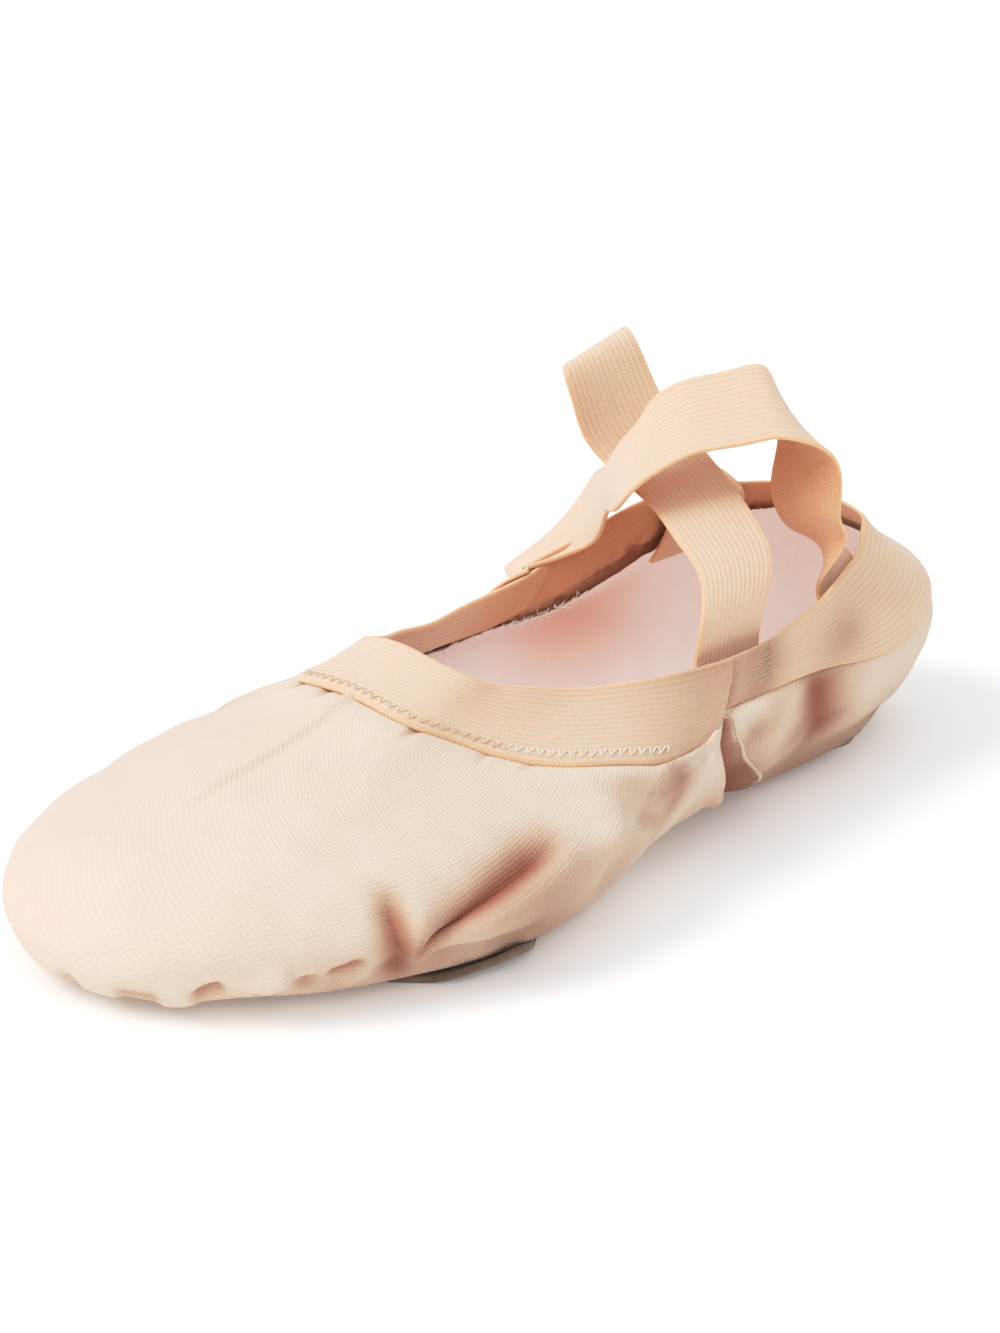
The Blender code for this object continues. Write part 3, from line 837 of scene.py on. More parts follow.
def pocket(around, depth):
    """Shift, slide towards the heel and painted shade of the pocket at the near arch."""
    turn, side = ring(around)
    roll = smooth_table(POCKET, 1, depth)
    seam = smooth_table(POCKET, 2, depth)
    deep = np.interp(depth, [row[0] for row in POCKET], [row[3] for row in POCKET])
    per_turn = 0.5 * math.pi * LENGTH * np.sin(math.pi * turn)
    ahead = (turn - roll) * per_turn
    behind = (seam - turn) * per_turn
    share = np.clip((roll - turn) / np.maximum(roll - seam, 1e-4), 0, 1)
    wall = smooth(0.3, -1.5, ahead)
    step = smooth(0.5, -0.3, behind)
    floor = np.where(turn > seam,
                     (1 - FLOOR_RISE * share**1.2) * step + BEHIND_SEAM * (1 - step),
                     BEHIND_SEAM * np.exp(-np.clip(behind, 0, None) / 5.0))
    live = smooth(0.0, 2.0, deep) * (side > 0)
    roll_up = ROLL_HEIGHT * hump(ahead, ROLL_WIDTH, ROLL_WIDTH)
    shift = (roll_up - deep * wall * floor) * live
    slide = ROLL_SLIDE * hump(ahead, 1.0, 2.4) * live
    inside = smooth(0.6, -0.8, ahead) * step * live
    # painted shade deep in the pocket, less towards the seam
    tint = np.clip(1.25 * inside * np.clip(deep / 3.0, 0, 1) * (1.0 - 0.50 * share), 0, 1)
    return shift, slide, np.where(turn > seam - 0.004, tint, 0)


def gathers(around, depth):
    """Canvas that puffs and puckers just below the elastic, and the painted shade in the puckers.
    """
    turn, _ = ring(around)
    below = depth - soft_band_edge(around)
    full = 0.6 + 0.9 * smooth(0.50, 0.58, turn) - 0.2 * smooth(0.68, 0.80, turn)
    puff = full * hump(below, 3.5, 5.0) * smooth(-1.6, 0.8, below)
    phase = around * 58 + 1.4 * np.sin(around * 17.0) + 1.1 * np.sin(around * 41.0 + 1)
    pinch = np.clip(np.sin(phase), 0, 1) ** 3
    pinch = pinch * ((0.35 + 0.65 * hump(turn, 0.92, 0.10))
                     * (0.25 + 0.75 * smooth(0.57, 0.66, turn)))
    pucker = pinch * np.exp(-(np.clip(below - 1.0, 0, None) / 3.5) ** 2)
    # painted shade in the puckers just below the elastic's edge
    tint = PUCKER_SHADE * pinch * hump(below, 0.8, 1.5)
    return puff - pucker * smooth(-1.0, 0.5, below), tint


class Surface:
    """A finished grid of points, read at (around, drop)."""

    def __init__(self, around, depth, points, normals):
        self.around, self.depth, self.points, self.normals = around, depth, points, normals

    def read(self, around, drop):
        right = np.clip(np.searchsorted(self.around, around), 1, len(self.around) - 1)
        left = right - 1
        share = (around - self.around[left]) / (self.around[right] - self.around[left])
        share = share[:, None]
        found = []
        for field in (self.points, self.normals):
            sides = [np.array([read_line(d, self.depth[:, c], field[:, c])
                               for d, c in zip(drop, column)]) for column in (left, right)]
            found.append(sides[0] * (1 - share) + sides[1] * share)
        return found[0], unit(found[1])


def flatten(points):
    """Flat pattern of an open grid of points, in millimetres, one place a point."""
    rows, columns = points.shape[:2]
    mesh = bpy.data.meshes.new("pattern")
    mesh.from_pydata(points.reshape(-1, 3).tolist(), [], grid_faces(rows, columns))
    mesh.uv_layers.new(name="flat")
    pattern = bpy.data.objects.new("pattern", mesh)
    bpy.context.scene.collection.objects.link(pattern)
    bpy.context.view_layer.objects.active = pattern
    bpy.ops.object.mode_set(mode="EDIT")
    bpy.ops.mesh.select_all(action="SELECT")
    bpy.ops.uv.unwrap(method="MINIMUM_STRETCH", margin=0.0, iterations=20)
    bpy.ops.object.mode_set(mode="OBJECT")
    uv = np.empty(len(mesh.loops) * 2, np.float32)
    mesh.uv_layers["flat"].data.foreach_get("uv", uv)
    flat = np.zeros((rows * columns, 2))
    flat[corners(mesh)] = uv.reshape(-1, 2)
    flat = flat.reshape(rows, columns, 2)
    true, made = [np.linalg.norm(np.diff(grid, axis=1), axis=2).sum() for grid in (points, flat)]
    bpy.data.objects.remove(pattern)
    bpy.data.meshes.remove(mesh)
    return flat * true / made


def spread(coarse, rows, columns):
    """A coarse grid of values read at other places, counted in its own rows and columns."""
    down, across = [np.arange(count)[:, None] for count in coarse.shape[:2]]
    half = read_columns(columns[:, None], across, coarse.swapaxes(0, 1)).swapaxes(0, 1)
    return read_columns(rows[:, None], down, half)


CANVAS_COLUMNS = 620
CANVAS_ROWS = 150
WALL_ROWS = 0.86          # share of the rows that lie above the turned-under canvas
TURNED_UNDER = 11.0       # that begins this far inside the sole edge
PATTERN_STEP = (4, 6)     # the flat pattern takes every so many rows and columns
EASE_PASSES = 260
SOFT = ((0.05, 1.0), (0.14, 0.45))    # slow unevenness of the cloth: how fine, how strong
SOFT_HEIGHT = 0.7
PATCH_TUCK = 1.2          # a sole patch draws the canvas in round it,
PATCH_LIFT = 0.8          # and holds it off the floor
CLOSE_COLUMNS = (
    # around  how closely the canvas columns stand
    (0.00, 1.0), (0.25, 1.2), (0.36, 2.4), (0.56, 2.6), (0.60, 1.8), (0.80, 1.6), (0.95, 1.2),
    (1.10, 0.9), (1.90, 0.8), (2.00, 1.0),
)


def canvas_columns():
    fine = np.linspace(0, 2, 2001)
    rate = np.interp(fine, *np.array(CLOSE_COLUMNS).T)
    total = np.concatenate([[0], np.cumsum((rate[1:] + rate[:-1]) / 2)])
    return np.interp(np.linspace(0, total[-1], CANVAS_COLUMNS), total, fine)


def eased(points, around, above):
    """Points drawn smooth across the middle of the vamp and of the heel, above the sole edge."""
    middle = np.minimum(np.abs(around - 1.0), np.minimum(around, 2.0 - around))
    share = (smooth(0.16, 0.06, middle) * smooth(6.0, 20.0, above))[..., None]
    wide = points[:, :-1]
    for _ in range(EASE_PASSES):
        wide = 0.5 * wide + 0.25 * (np.roll(wide, 1, 1) + np.roll(wide, -1, 1))
    wide = np.concatenate([wide, wide[:, :1]], axis=1)
    return points + (wide - points) * share


def build_canvas():
    """Canvas upper, and its surface before the far side is drawn in."""
    around = canvas_columns()
    skin = Skin(around)
    turn, side = ring(around)
    top = soft_band_edge(around, True) - LAP
    knee = skin.edge + TURNED_UNDER
    share = np.linspace(0, 1, CANVAS_ROWS)[:, None]
    depth = np.where(share < WALL_ROWS, top + (knee - top) * share / WALL_ROWS,
                     knee + (skin.total - knee) * (share - WALL_ROWS) / (1 - WALL_ROWS))
    below = depth - skin.edge
    plain = eased(skin.at(depth), around, -below)
    normals = grid_normals(plain)
    normals[:, 0] = normals[:, -1] = (normals[:, 1] + normals[:, -2]) / 2
    # collects the painted shade of the pocket, the creases and the puckers
    shift, back, hollow_shade = pocket(around, depth)
    slide = np.zeros(plain.shape)
    slide[..., 0] -= back
    for row in CREASES:
        moved, slid, tint = crease(plain, normals, *row)
        shift += moved
        slide += slid
        hollow_shade = np.maximum(hollow_shade, tint)
    moved, tint = gathers(around, depth)
    shift += moved
    hollow_shade = np.maximum(hollow_shade, tint)
    soft = np.array([sum(strength * noise.noise(Vector(p * scale)) for scale, strength in SOFT)
                     for p in plain.reshape(-1, 3)]).reshape(depth.shape)
    shift += SOFT_HEIGHT * soft * smooth(2.0, 12.0, depth - soft_band_edge(around))
    ball_end = smooth(0.90, 0.82, turn)
    shift -= PATCH_TUCK * smooth(-5.0, 3.0, below) * np.maximum(
        smooth(0.62, 0.72, turn) * ball_end, smooth(0.40, 0.30, turn))
    fade = smooth(0.0, -8.0, below - TURNED_UNDER)[..., None]
    points = plain + (normals * shift[..., None] + slide) * fade
    lifted = (smooth(0.62, 0.70, turn) * ball_end
              + smooth(0.40, 0.32, turn) * smooth(0.08, 0.16, turn))
    points[..., 2] += PATCH_LIFT * lifted * smooth(-14.0, 1.0, below) * (side > 0)
    open_surface = Surface(around, depth, points, normals)
    points = points - normals * far_tuck(around, depth)[..., None]
    rows, columns = [np.unique(np.append(np.arange(0, count, step), count - 1))
                     for count, step in zip(depth.shape, PATTERN_STEP)]
    uv = spread(flatten(plain[rows][:, columns]),
                np.interp(share[:, 0], share[rows, 0], np.arange(len(rows))),
                np.interp(around, around[columns], np.arange(len(columns))))
    # painted shade: in the hollows, and in the warm patches of SHADES
    piece = add_mesh("canvas_upper", points, canvas_cloth, uv,
                     {"painted_hollow_shade": np.clip(hollow_shade, 0, 1), "shade": shades(around, depth)})
    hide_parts("upper")
    return open_surface


# ---------------------------------------------------------------- elastics
EDGE_STEPS = 4


def web_section(width, columns):
    """Closed section of an elastic: places across it, heights and selvedge marks."""
    round_edge = ELASTIC / 2
    half = width / 2 - round_edge
    flat = np.linspace(-half, half, columns)
    bend = np.linspace(-0.5, 0.5, EDGE_STEPS + 2)[1:-1] * math.pi
    across = np.concatenate([flat, half + round_edge * np.cos(bend[::-1]),
                             flat[::-1], -half - round_edge * np.cos(bend)])
    height = np.concatenate([flat * 0 + round_edge, round_edge * np.sin(bend[::-1]),
                             flat * 0 - round_edge, round_edge * np.sin(bend)])
    selvedge = smooth(width / 2 - 1.0, width / 2 - 0.3, np.abs(across))
    return across[:, None], height[:, None], selvedge[:, None]


def add_web(name, points, run, across, selvedge, marks):
    """Elastic piece from section points (section, along, 3)."""
    rows, columns = points.shape[:2]
    faces = grid_faces(rows, columns, wrap_rows=True)
    wide = rows // 2 - EDGE_STEPS
    caps = [list(range(wide - 1, wide + EDGE_STEPS + 1)),
            list(range(rows - EDGE_STEPS - 1, rows)) + [0]]
    caps += [[i, i + 1, rows - EDGE_STEPS - 2 - i, rows - EDGE_STEPS - 1 - i]
             for i in range(wide - 1)]
    faces += [[r * columns for r in cap] for cap in caps]
    faces += [[r * columns + columns - 1 for r in reversed(cap)] for cap in caps]
    piece = add_mesh(name, points, elastic_web, np.stack(np.broadcast_arrays(run, across), -1),
                     {"selvedge": np.broadcast_to(selvedge, (rows, columns)), **marks}, faces)
    return piece


BAND_ROWS = 40            # rows of skin that a place across the elastic is read between


def down_band(across):
    """Share of the way down the collar elastic."""
    return np.clip(across / BAND_WIDTH + 0.5, 0, 1)


def band_points(around, across, out, edge=None):
    """Points of the collar elastic: across in millimetres from its middle, out from the skin."""
    edge = band_edge(around) if edge is None else edge
    sheet = Skin(around).at(np.linspace(0, 1, BAND_ROWS + 1)[:, None] * edge)
    share = np.broadcast_to(down_band(across), np.broadcast_shapes(np.shape(across), around.shape))
    low = np.clip((share * BAND_ROWS).astype(int), 0, BAND_ROWS - 1)
    part = (share * BAND_ROWS - low)[..., None]
    column = np.arange(len(around))
    spot, normal = [grid[low, column] * (1 - part) + grid[low + 1, column] * part
                    for grid in (sheet, grid_normals(sheet))]
    return spot + unit(normal) * (out - far_tuck(around, share * edge))[..., None]


BAND_LEAN = (
    # around  how far the elastic's top edge leans inward
    (-0.40, 0.0), (-0.30, 0.4), (-0.20, 2.6), (-0.08, 5.6), (0.05, 6.6), (0.22, 6.6),
    (0.32, 4.6), (0.40, 2.2), (0.48, 0.3), (0.54, 0.0), (1.30, 0.0), (1.42, 0.6), (1.50, 2.0),
    (1.56, 2.0), (1.60, 0.0),
)
SAG = 0.30                # how far the elastic's top edge drops for each millimetre it leans
RIM_LIFT = (
    # around  how far the elastic's top edge is stretched up by the straps
    (1.42, 0.0), (1.51, 1.6), (1.57, 2.4), (1.64, 4.6), (1.71, 3.8), (1.79, 1.0), (1.86, 0.0),
)


def band_lean(around, share):
    """Lean of the elastic inward at a share of the way down it."""
    turned = np.where(around > 1.6, around - 2.0, around)
    return smooth_table(BAND_LEAN, 1, turned) * (1 - np.clip(share, 0, 1)) ** 1.6


def band_wave(around, share):
    """How far the elastic leans and ripples off the skin at a share of the way down it."""
    wave = 0.30 * np.sin(around * 26 + 0.6) + 0.20 * np.sin(around * 49 + 2.0)
    turn_in = 0.35 * smooth(0.85, 1.0, share)
    return wave * (1 - share) ** 1.6 - band_lean(around, share) - turn_in


BAND_SECTION = 24         # places across the collar elastic, and across a strap
STRAP_SECTION = 22
JOIN_LAP = 0.030          # how far round the shoe the front elastic rises to lie over the other
LINING_EDGE_SHADE_WIDTH = 2.6         # painted red shade on its inside along the lining's edge


def build_band(name, node, first, last, count, lift_ends, held):
    """Collar elastic round part of the opening, lapped outside the canvas."""
    around = np.linspace(first, last, count)
    across, height, selvedge = web_section(BAND_WIDTH, BAND_SECTION)
    share = down_band(across)
    lift = lift_ends * (smooth(JOIN_LAP, 0.0, around - first)
                        + smooth(JOIN_LAP, 0.0, last - around))
    out = BAND_GAP + ELASTIC / 2 + height + lift + band_wave(around, share)
    edge = band_edge(np.clip(around, *held))
    points = band_points(around, across, out, edge)
    turned = np.where(around > 0.5, around, around + 2.0)
    points[..., 2] += smooth_table(RIM_LIFT, 1, turned) * (1 - share)
    points[..., 2] -= SAG * band_lean(around, share)
    # painted shade on the inside face, strongest on the far side
    inner = (height < -0.2) * ((0.10 + 0.90 * smooth(1.38, 1.50, turned))
                               * (0.4 + 0.6 * smooth(1.98, 1.86, turned)))
    drop = share * edge
    off_lining = (drop - lining_top(around) - 1.2) / LINING_EDGE_SHADE_WIDTH
    # painted shade on the inside where the lining's edge meets it
    lining_edge_shade = 0.9 * inner * smooth(1.90, 1.80, turned) * np.exp(-off_lining ** 2)
    turn, side = ring(around)
    from_joint = turn - NEAR_JOINT
    # painted shade near the near joint and in a dip of the heel elastic
    joint_shade = np.maximum(0.80 * hump(from_joint, 0.012, 0.070),
                       hump(from_joint, -0.038, 0.036))
    wear_and_dip_shade = 0.85 * np.exp(-((turn - 0.345) / 0.05) ** 2 - ((drop - 10.5) / 7.5) ** 2)
    shade = (side > 0) * np.maximum(joint_shade, wear_and_dip_shade)
    piece = add_web(name, points, lengths(points[0]), across, selvedge,
                    {"inner": 0.85 * inner, "lining_edge_shade": lining_edge_shade, "shade": shade})
    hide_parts(node)
    return piece


def around_at(x, side):
    """Place round the rim that lies x millimetres forward, on the near or the far side."""
    turns = np.linspace(0.02, 0.98, 193)
    turn = np.interp(x, rim_x(turns), turns)
    return turn if side > 0 else 2.0 - turn


def sewn_end(front_x, side):
    """Strap middle and cross direction where it is sewn inside the rim, deepest row first."""
    drops = np.array([SEWN_DEPTH, SEWN_DEPTH / 2, SEWN_TOP])
    rows = np.linspace(0, SEWN_DEPTH, 25)
    edges = []
    for x in (front_x, front_x - STRAP_WIDTH):
        place = around_at(x, side)
        sheet = Skin(place + 2 * NUDGE * np.array([-1, 0, 1])).at(rows[:, None])
        lean = band_lean(place, rows / BAND_WIDTH)[:, None]
        line = sheet[:, 1] - grid_normals(sheet)[:, 1] * (SEWN_INSIDE + lean)
        edges.append(read_line(drops, rows, line - np.array([0, 0, SAG]) * lean))
    front, rear = edges
    return (front + rear) / 2, rear - front


STRAP_COLUMNS = 280
HUG_REACH = (13.0, 4.0)   # along the far strap, where it comes to lie against the elastic
HUG_GAP = 0.5             # between them
HUG_FROM = 60.0           # the wall is looked for from this far outside the strap,
HUG_SIDE = -20.0          # on the far side of this line,
HUG_ABOVE = 3.0           # and again this far above, where the strap begins to leave it
HUG_PASSES = 3


def hug_wall(sheet, run, walls):
    """Outward shift that lays the far strap's end against the outside of the collar."""
    spots, faces = [], []
    for wall in walls:
        start = len(spots)
        spots += [Vector((np.array(v.co) / MM + ORIGIN).tolist()) for v in wall.data.vertices]
        faces += [[start + i for i in face.vertices] for face in wall.data.polygons]
    tree = BVHTree.FromPolygons(spots, faces)

    def wall_at(x, y, z):
        hit = tree.ray_cast(Vector((x, y - HUG_FROM, z)), Vector((0, 1, 0)))[0]
        return hit.y if hit is not None and hit.y < HUG_SIDE else None

    shift = np.zeros(sheet.shape[:2])
    for j in np.flatnonzero(run < HUG_REACH[0]):
        for i, (x, y, z) in enumerate(sheet[:, j]):
            wall = wall_at(x, y, z)
            if wall is not None:
                share = 0.5 if wall_at(x, y, z + HUG_ABOVE) is None else 1.0
                shift[i, j] = share * (wall - 0.5 * ELASTIC - HUG_GAP - y)
    for _ in range(HUG_PASSES):
        shift[1:-1] = 0.25 * shift[:-2] + 0.5 * shift[1:-1] + 0.25 * shift[2:]
    return shift * smooth(*HUG_REACH, run)


def build_strap(name, node, table, start, end, inner_side, walls=()):
    """Strap along a table's rows to its sewn end, from a sewn start if it has one."""
    rows = np.concatenate([np.hstack(sewn_end(*start)) if start else np.empty((0, 6)),
                           table, np.hstack(sewn_end(*end))[::-1]])
    rows[:, 3:] = unit(rows[:, 3:])
    place = lengths(rows[:, :3])
    fine = curve_through(rows, place, np.linspace(0, place[-1], STRAP_COLUMNS))
    middle, cross = fine[:, :3], unit(fine[:, 3:])
    normal = unit(np.cross(np.gradient(middle, axis=0), cross))
    across, height, selvedge = web_section(STRAP_WIDTH, STRAP_SECTION)
    sheet = middle + cross * across[..., None]
    points = sheet + normal * height[..., None]
    run = lengths(middle)
    if walls:
        points[..., 1] += hug_wall(sheet, run, walls)
    # painted shade on the strap's inside face
    inner = 0.75 * (height * inner_side > 0.2) * np.ones(STRAP_COLUMNS)
    if inner_side > 0:
        inner = inner * (0.15 + 0.85 * smooth(-26.0, -14.0, middle[:, 1]))
    piece = add_web(name, points, run, across, selvedge, {"inner": inner})
    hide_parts(node)


# ---------------------------------------------------------------- stitches
ZIGZAG_PITCH = 2.2
ZIGZAG_HEIGHT = 2.0
ZIGZAG_JITTER = 0.16
ZIGZAG_RADIUS = 0.16
ZIGZAG_ARCH = np.array([-0.10, 0.16, 0.22, 0.16, -0.10])    # a stitch's rise off the elastic
JOINT_ROWS = 7            # box of stitches at the near joint: rows, and stitches round the shoe
JOINT_SPAN = 0.052
JOINT_STEP = 0.0026
JOINT_HEIGHT = 1.5
JOINT_RADIUS = 0.09
JOINT_ARCH = np.array([-0.10, 0.06, 0.10, 0.06, -0.10])
SEAM_DROPS = (17.0, 48.0)    # where the beaded seam starts and ends
SEAM_AHEAD = -0.0035      # its place against the pocket's seam
SEAM_RISE = 0.25
SEAM_RADIUS = 0.34
BEAD_PITCH = 0.95
BEAD_RADIUS = 0.18
BEAD_SIZE = (0.55, 0.42, 0.22)    # a bead's half width, height and lean


def build_zigzag(name, first, last, row, material):
    """Zigzag of thread on the collar elastic; row is millimetres from its middle."""
    fine = np.linspace(first, last, 1200)
    length = lengths(band_points(fine, row + 0 * fine, ELASTIC))
    count = int(length[-1] / (ZIGZAG_PITCH / 2))
    stops = np.interp(np.arange(count + 1) * length[-1] / count, length, fine)
    swing = np.where(np.arange(count) % 2, 1.0, -1.0)[:, None]
    share = np.linspace(0, 1, len(ZIGZAG_ARCH))
    places = stops[:-1, None] + (stops[1:] - stops[:-1])[:, None] * share
    reach = (swing * (2 * share - 1) * ZIGZAG_HEIGHT / 2
             + RNG.normal(0, ZIGZAG_JITTER, (count, 1)))
    spots = band_points(places.ravel(), row + reach.ravel(),
                        BAND_GAP + ELASTIC + np.tile(ZIGZAG_ARCH, count))
    piece = tubes(name, spots.reshape(*places.shape, 3), ZIGZAG_RADIUS, material, 5)


def build_joint_stitches():
    """Rough box of stitches that holds the two collar elastics together."""
    paths = []
    share = np.linspace(-0.5, 0.5, len(JOINT_ARCH))
    for row in np.linspace(-8.0, 4.0, JOINT_ROWS):
        start = NEAR_JOINT - 0.004 + RNG.normal(0, 0.0015)
        swing = JOINT_HEIGHT
        for place in np.arange(start, start - JOINT_SPAN, -JOINT_STEP):
            height = row + swing * share + RNG.normal(0, 0.25)
            paths.append(band_points(place + JOINT_STEP * share, height,
                                     BAND_GAP + ELASTIC + JOINT_ARCH))
            swing = -swing
    piece = tubes("joint_stitches", paths, JOINT_RADIUS, dull_thread, 5)


def build_seam(canvas):
    """Beaded overlock cord down the arch seam."""
    drops = np.linspace(*SEAM_DROPS, 60)
    spots, normals = canvas.read(smooth_table(POCKET, 2, drops) + SEAM_AHEAD, drops)
    soft = np.ones(9) / 9
    spots = np.column_stack([np.convolve(np.pad(column, 4, "edge"), soft, "valid")
                             for column in spots.T])
    spots = spots + normals * SEAM_RISE
    run = lengths(spots)
    ahead = unit(np.gradient(spots, axis=0))
    frame_along = np.hstack([spots, normals, np.cross(ahead, normals), ahead])
    wide, tall, lean = BEAD_SIZE
    angle = np.linspace(-1.3, 1.3, 6)[:, None]
    beads = []
    for place in np.arange(0.5, run[-1] - 0.5, BEAD_PITCH):
        middle, out, across, on = read_line(place, run, frame_along).reshape(4, 3)
        beads.append(middle + across * (wide * np.sin(angle))
                     + out * (tall * np.cos(angle) - 0.12) + on * lean * angle)
    for piece in (tubes("arch_seam_cord", [spots - normals * 0.05], SEAM_RADIUS, canvas_thread, 8),
                  tubes("arch_seam_loops", beads, BEAD_RADIUS, canvas_thread, 5)):
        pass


# ---------------------------------------------------------------- inside
LINING_LEAST = 4.5        # the lining never comes nearer the rim than this
LINING_TOP = (
    # turn  drop of the ragged edge below the elastic's lower edge (towards the rim)
    (0.00, 14.0), (0.25, 13.5), (0.38, 11.5), (0.46, 7.0), (0.60, 7.0), (0.80, 7.5),
    (1.00, 7.0),
)


def lining_top(around):
    turn, _ = ring(around)
    return np.maximum(band_edge(around) - smooth_table(LINING_TOP, 1, turn), LINING_LEAST)


LINING_COLUMNS = 641
LINING_ROWS = 64
LINING_CROWD = 1.15       # rows crowd towards the ragged edge
LINING_UNDER = 16.0       # the lining ends this far inside the sole edge
LINING_INSET = 0.9        # in from the skin, and as much again behind the pocket
RAGGED = 0.9              # how ragged its edge is
WALL_SHADOW = (1.63, 0.07, 26.0, 13.0)    # painted red shadow on the far wall under the strap: place and reach, round and down
FRAYS = 900
FRAY_RADIUS = 0.085
FRAY_LENGTH = (1.3, 0.7, 0.4)    # usual length, its spread, and the least


def build_lining(canvas):
    """Cotton lining with a ragged top edge, on the inside of the canvas."""
    around = np.linspace(0.0, 2.0, LINING_COLUMNS)
    skin = Skin(around)
    turn, side = ring(around)
    jag = np.convolve(RNG.normal(0, RAGGED, len(around)), [0.25, 0.5, 0.25], "same")
    jag[0] = jag[-1] = 0
    gathered = smooth(0.38, 0.50, turn)
    top = (lining_top(around) + jag * (0.3 + 0.7 * gathered)
           + RAGGED * gathered * np.sin(around * 83))
    rows = np.linspace(0, 1, LINING_ROWS)[:, None] ** LINING_CROWD
    bottom = np.minimum(skin.edge + LINING_UNDER, skin.total - 1)
    depth = top + (bottom - top) * rows
    base = skin.at(depth)
    normals = grid_normals(base)
    points = base.copy()
    for j, place in enumerate(around):
        first = np.interp(place, canvas.around, canvas.depth[0])
        drops = np.maximum(depth[:, j], first + 0.5)
        moved, _ = canvas.read(np.full(len(drops), place), drops)
        still = read_line(drops, skin.length[:, j], skin.line[:, j])
        fade = smooth(first - 5.0, first + 3.0, depth[:, j])[:, None]
        points[:, j] += (moved - still) * fade
    inset = LINING_INSET * (1 + (side > 0) * hump(turn, 0.47, 0.07))
    near_top = hump(depth, top, 3.0) * gathered
    ripple = np.sin(around * 75 + 2 * np.sin(around * 19))
    inset = inset + near_top * (0.45 * ripple - 1.0)
    lean = band_lean(around, depth / band_edge(around))
    points = points - normals * (inset + far_tuck(around, depth) + lean)[..., None]
    points[..., 2] -= SAG * lean
    run = np.broadcast_to(lengths(base[20]), depth.shape)
    uv = np.stack([run, depth], -1)
    # painted shadow of the strap on the far wall, and painted shade along the gathered top edge
    middle, wide, low, tall = WALL_SHADOW
    painted_lining_shadow = np.maximum(np.exp(-((around - middle) / wide) ** 2 - ((depth - low) / tall) ** 2),
                       0.45 * near_top)
    piece = add_mesh("cotton_lining", points[:, ::-1], lining_cloth, uv[:, ::-1],
                     {"painted_lining_shadow": painted_lining_shadow[:, ::-1]})
    return Surface(around, depth, points, normals)


def build_frays(lining):
    """Loose ends along the ragged edge of the lining."""
    usual, varied, least = FRAY_LENGTH
    steps = np.linspace(0, 1, 5)[:, None]
    paths = []
    for _ in range(FRAYS):
        around = np.array([RNG.uniform(0.40, 1.60)])
        top = np.interp(around, lining.around, lining.depth[0])
        [spot], [normal] = lining.read(around, top + RNG.uniform(0.0, 1.2))
        [ahead], _ = lining.read(around + 0.002, top + 1.0)
        level = unit(ahead - spot)
        up = np.cross(normal, level)
        up *= np.sign(up[2])
        length = abs(RNG.normal(usual, varied)) + least
        aim = unit(up + level * RNG.normal(0, 0.6) - normal * RNG.normal(0.15, 0.35))
        bend = level * RNG.normal(0, 0.5) - normal * abs(RNG.normal(0, 0.4))
        paths.append(spot + aim * length * steps + bend * (steps * length) ** 2 * 0.25)
    piece = tubes("lining_frays", paths, FRAY_RADIUS, lining_cloth, 4)


def build_insole():
    """Sock over the inside of the canvas underside, its edge turned up a little."""
    turns = np.linspace(0.0, 1.0, 161)
    halves = []
    for around in (turns, np.mod(2.0 - turns, 2.0)):
        reach = reach_to_spine(around)
        line = np.minimum(SOCK_INSET, reach)
        halves.append([underside(around, line + (reach - line) * share)
                       for share in np.linspace(0, 1, 26)])
    rows = np.array(halves[0] + halves[1][-2::-1])
    from_middle = np.abs(np.linspace(-1, 1, len(rows)))[:, None]
    rows[..., 2] = (floor_height(rows[..., 0]) + CANVAS + 0.6 + SOCK
                    + 0.5 * smooth(0.75, 1.0, from_middle))
    piece = add_mesh("sock", rows, lining_cloth, rows[..., :2])
    wall = piece.modifiers.new("wall", "SOLIDIFY")
    wall.thickness = SOCK * 0.9 * MM
    wall.offset = -1
    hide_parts("insole")


# ---------------------------------------------------------------- soles
PAD_EDGE_FORE = (
    # around  how far inside the sole edge the forefoot patch ends
    (0.40, 9.0), (0.55, 7.0), (0.60, 4.0), (0.655, 4.8), (0.685, 8.5), (0.72, 14.0),
    (1.20, 13.0), (1.40, 8.0), (1.60, 8.0),
)
PAD_EDGE_HEEL = (
    # around  how far inside it the heel patch ends
    (-0.50, 8.0), (-0.20, 6.5), (0.05, 6.8), (0.12, 7.4), (0.24, 8.4), (0.34, 10.0),
    (0.50, 9.0),
)


def rounded_share(x, fore_end, heel_end):
    """0 under the arch, rising to 1 over a quarter circle inside either patch."""
    fore = np.clip((x - fore_end) / END_ROUND, 0, 1)
    heel = np.clip((heel_end - x) / END_ROUND, 0, 1)
    return np.sqrt(1 - (1 - np.maximum(fore, heel))**2)


PAD_LEAST = 0.5           # the patch's edge comes no nearer the sole edge than this
PAD_CROWD = 1.2           # rows crowd towards the edge
PAD_ROUND = 0.35          # how far the cut edge bulges


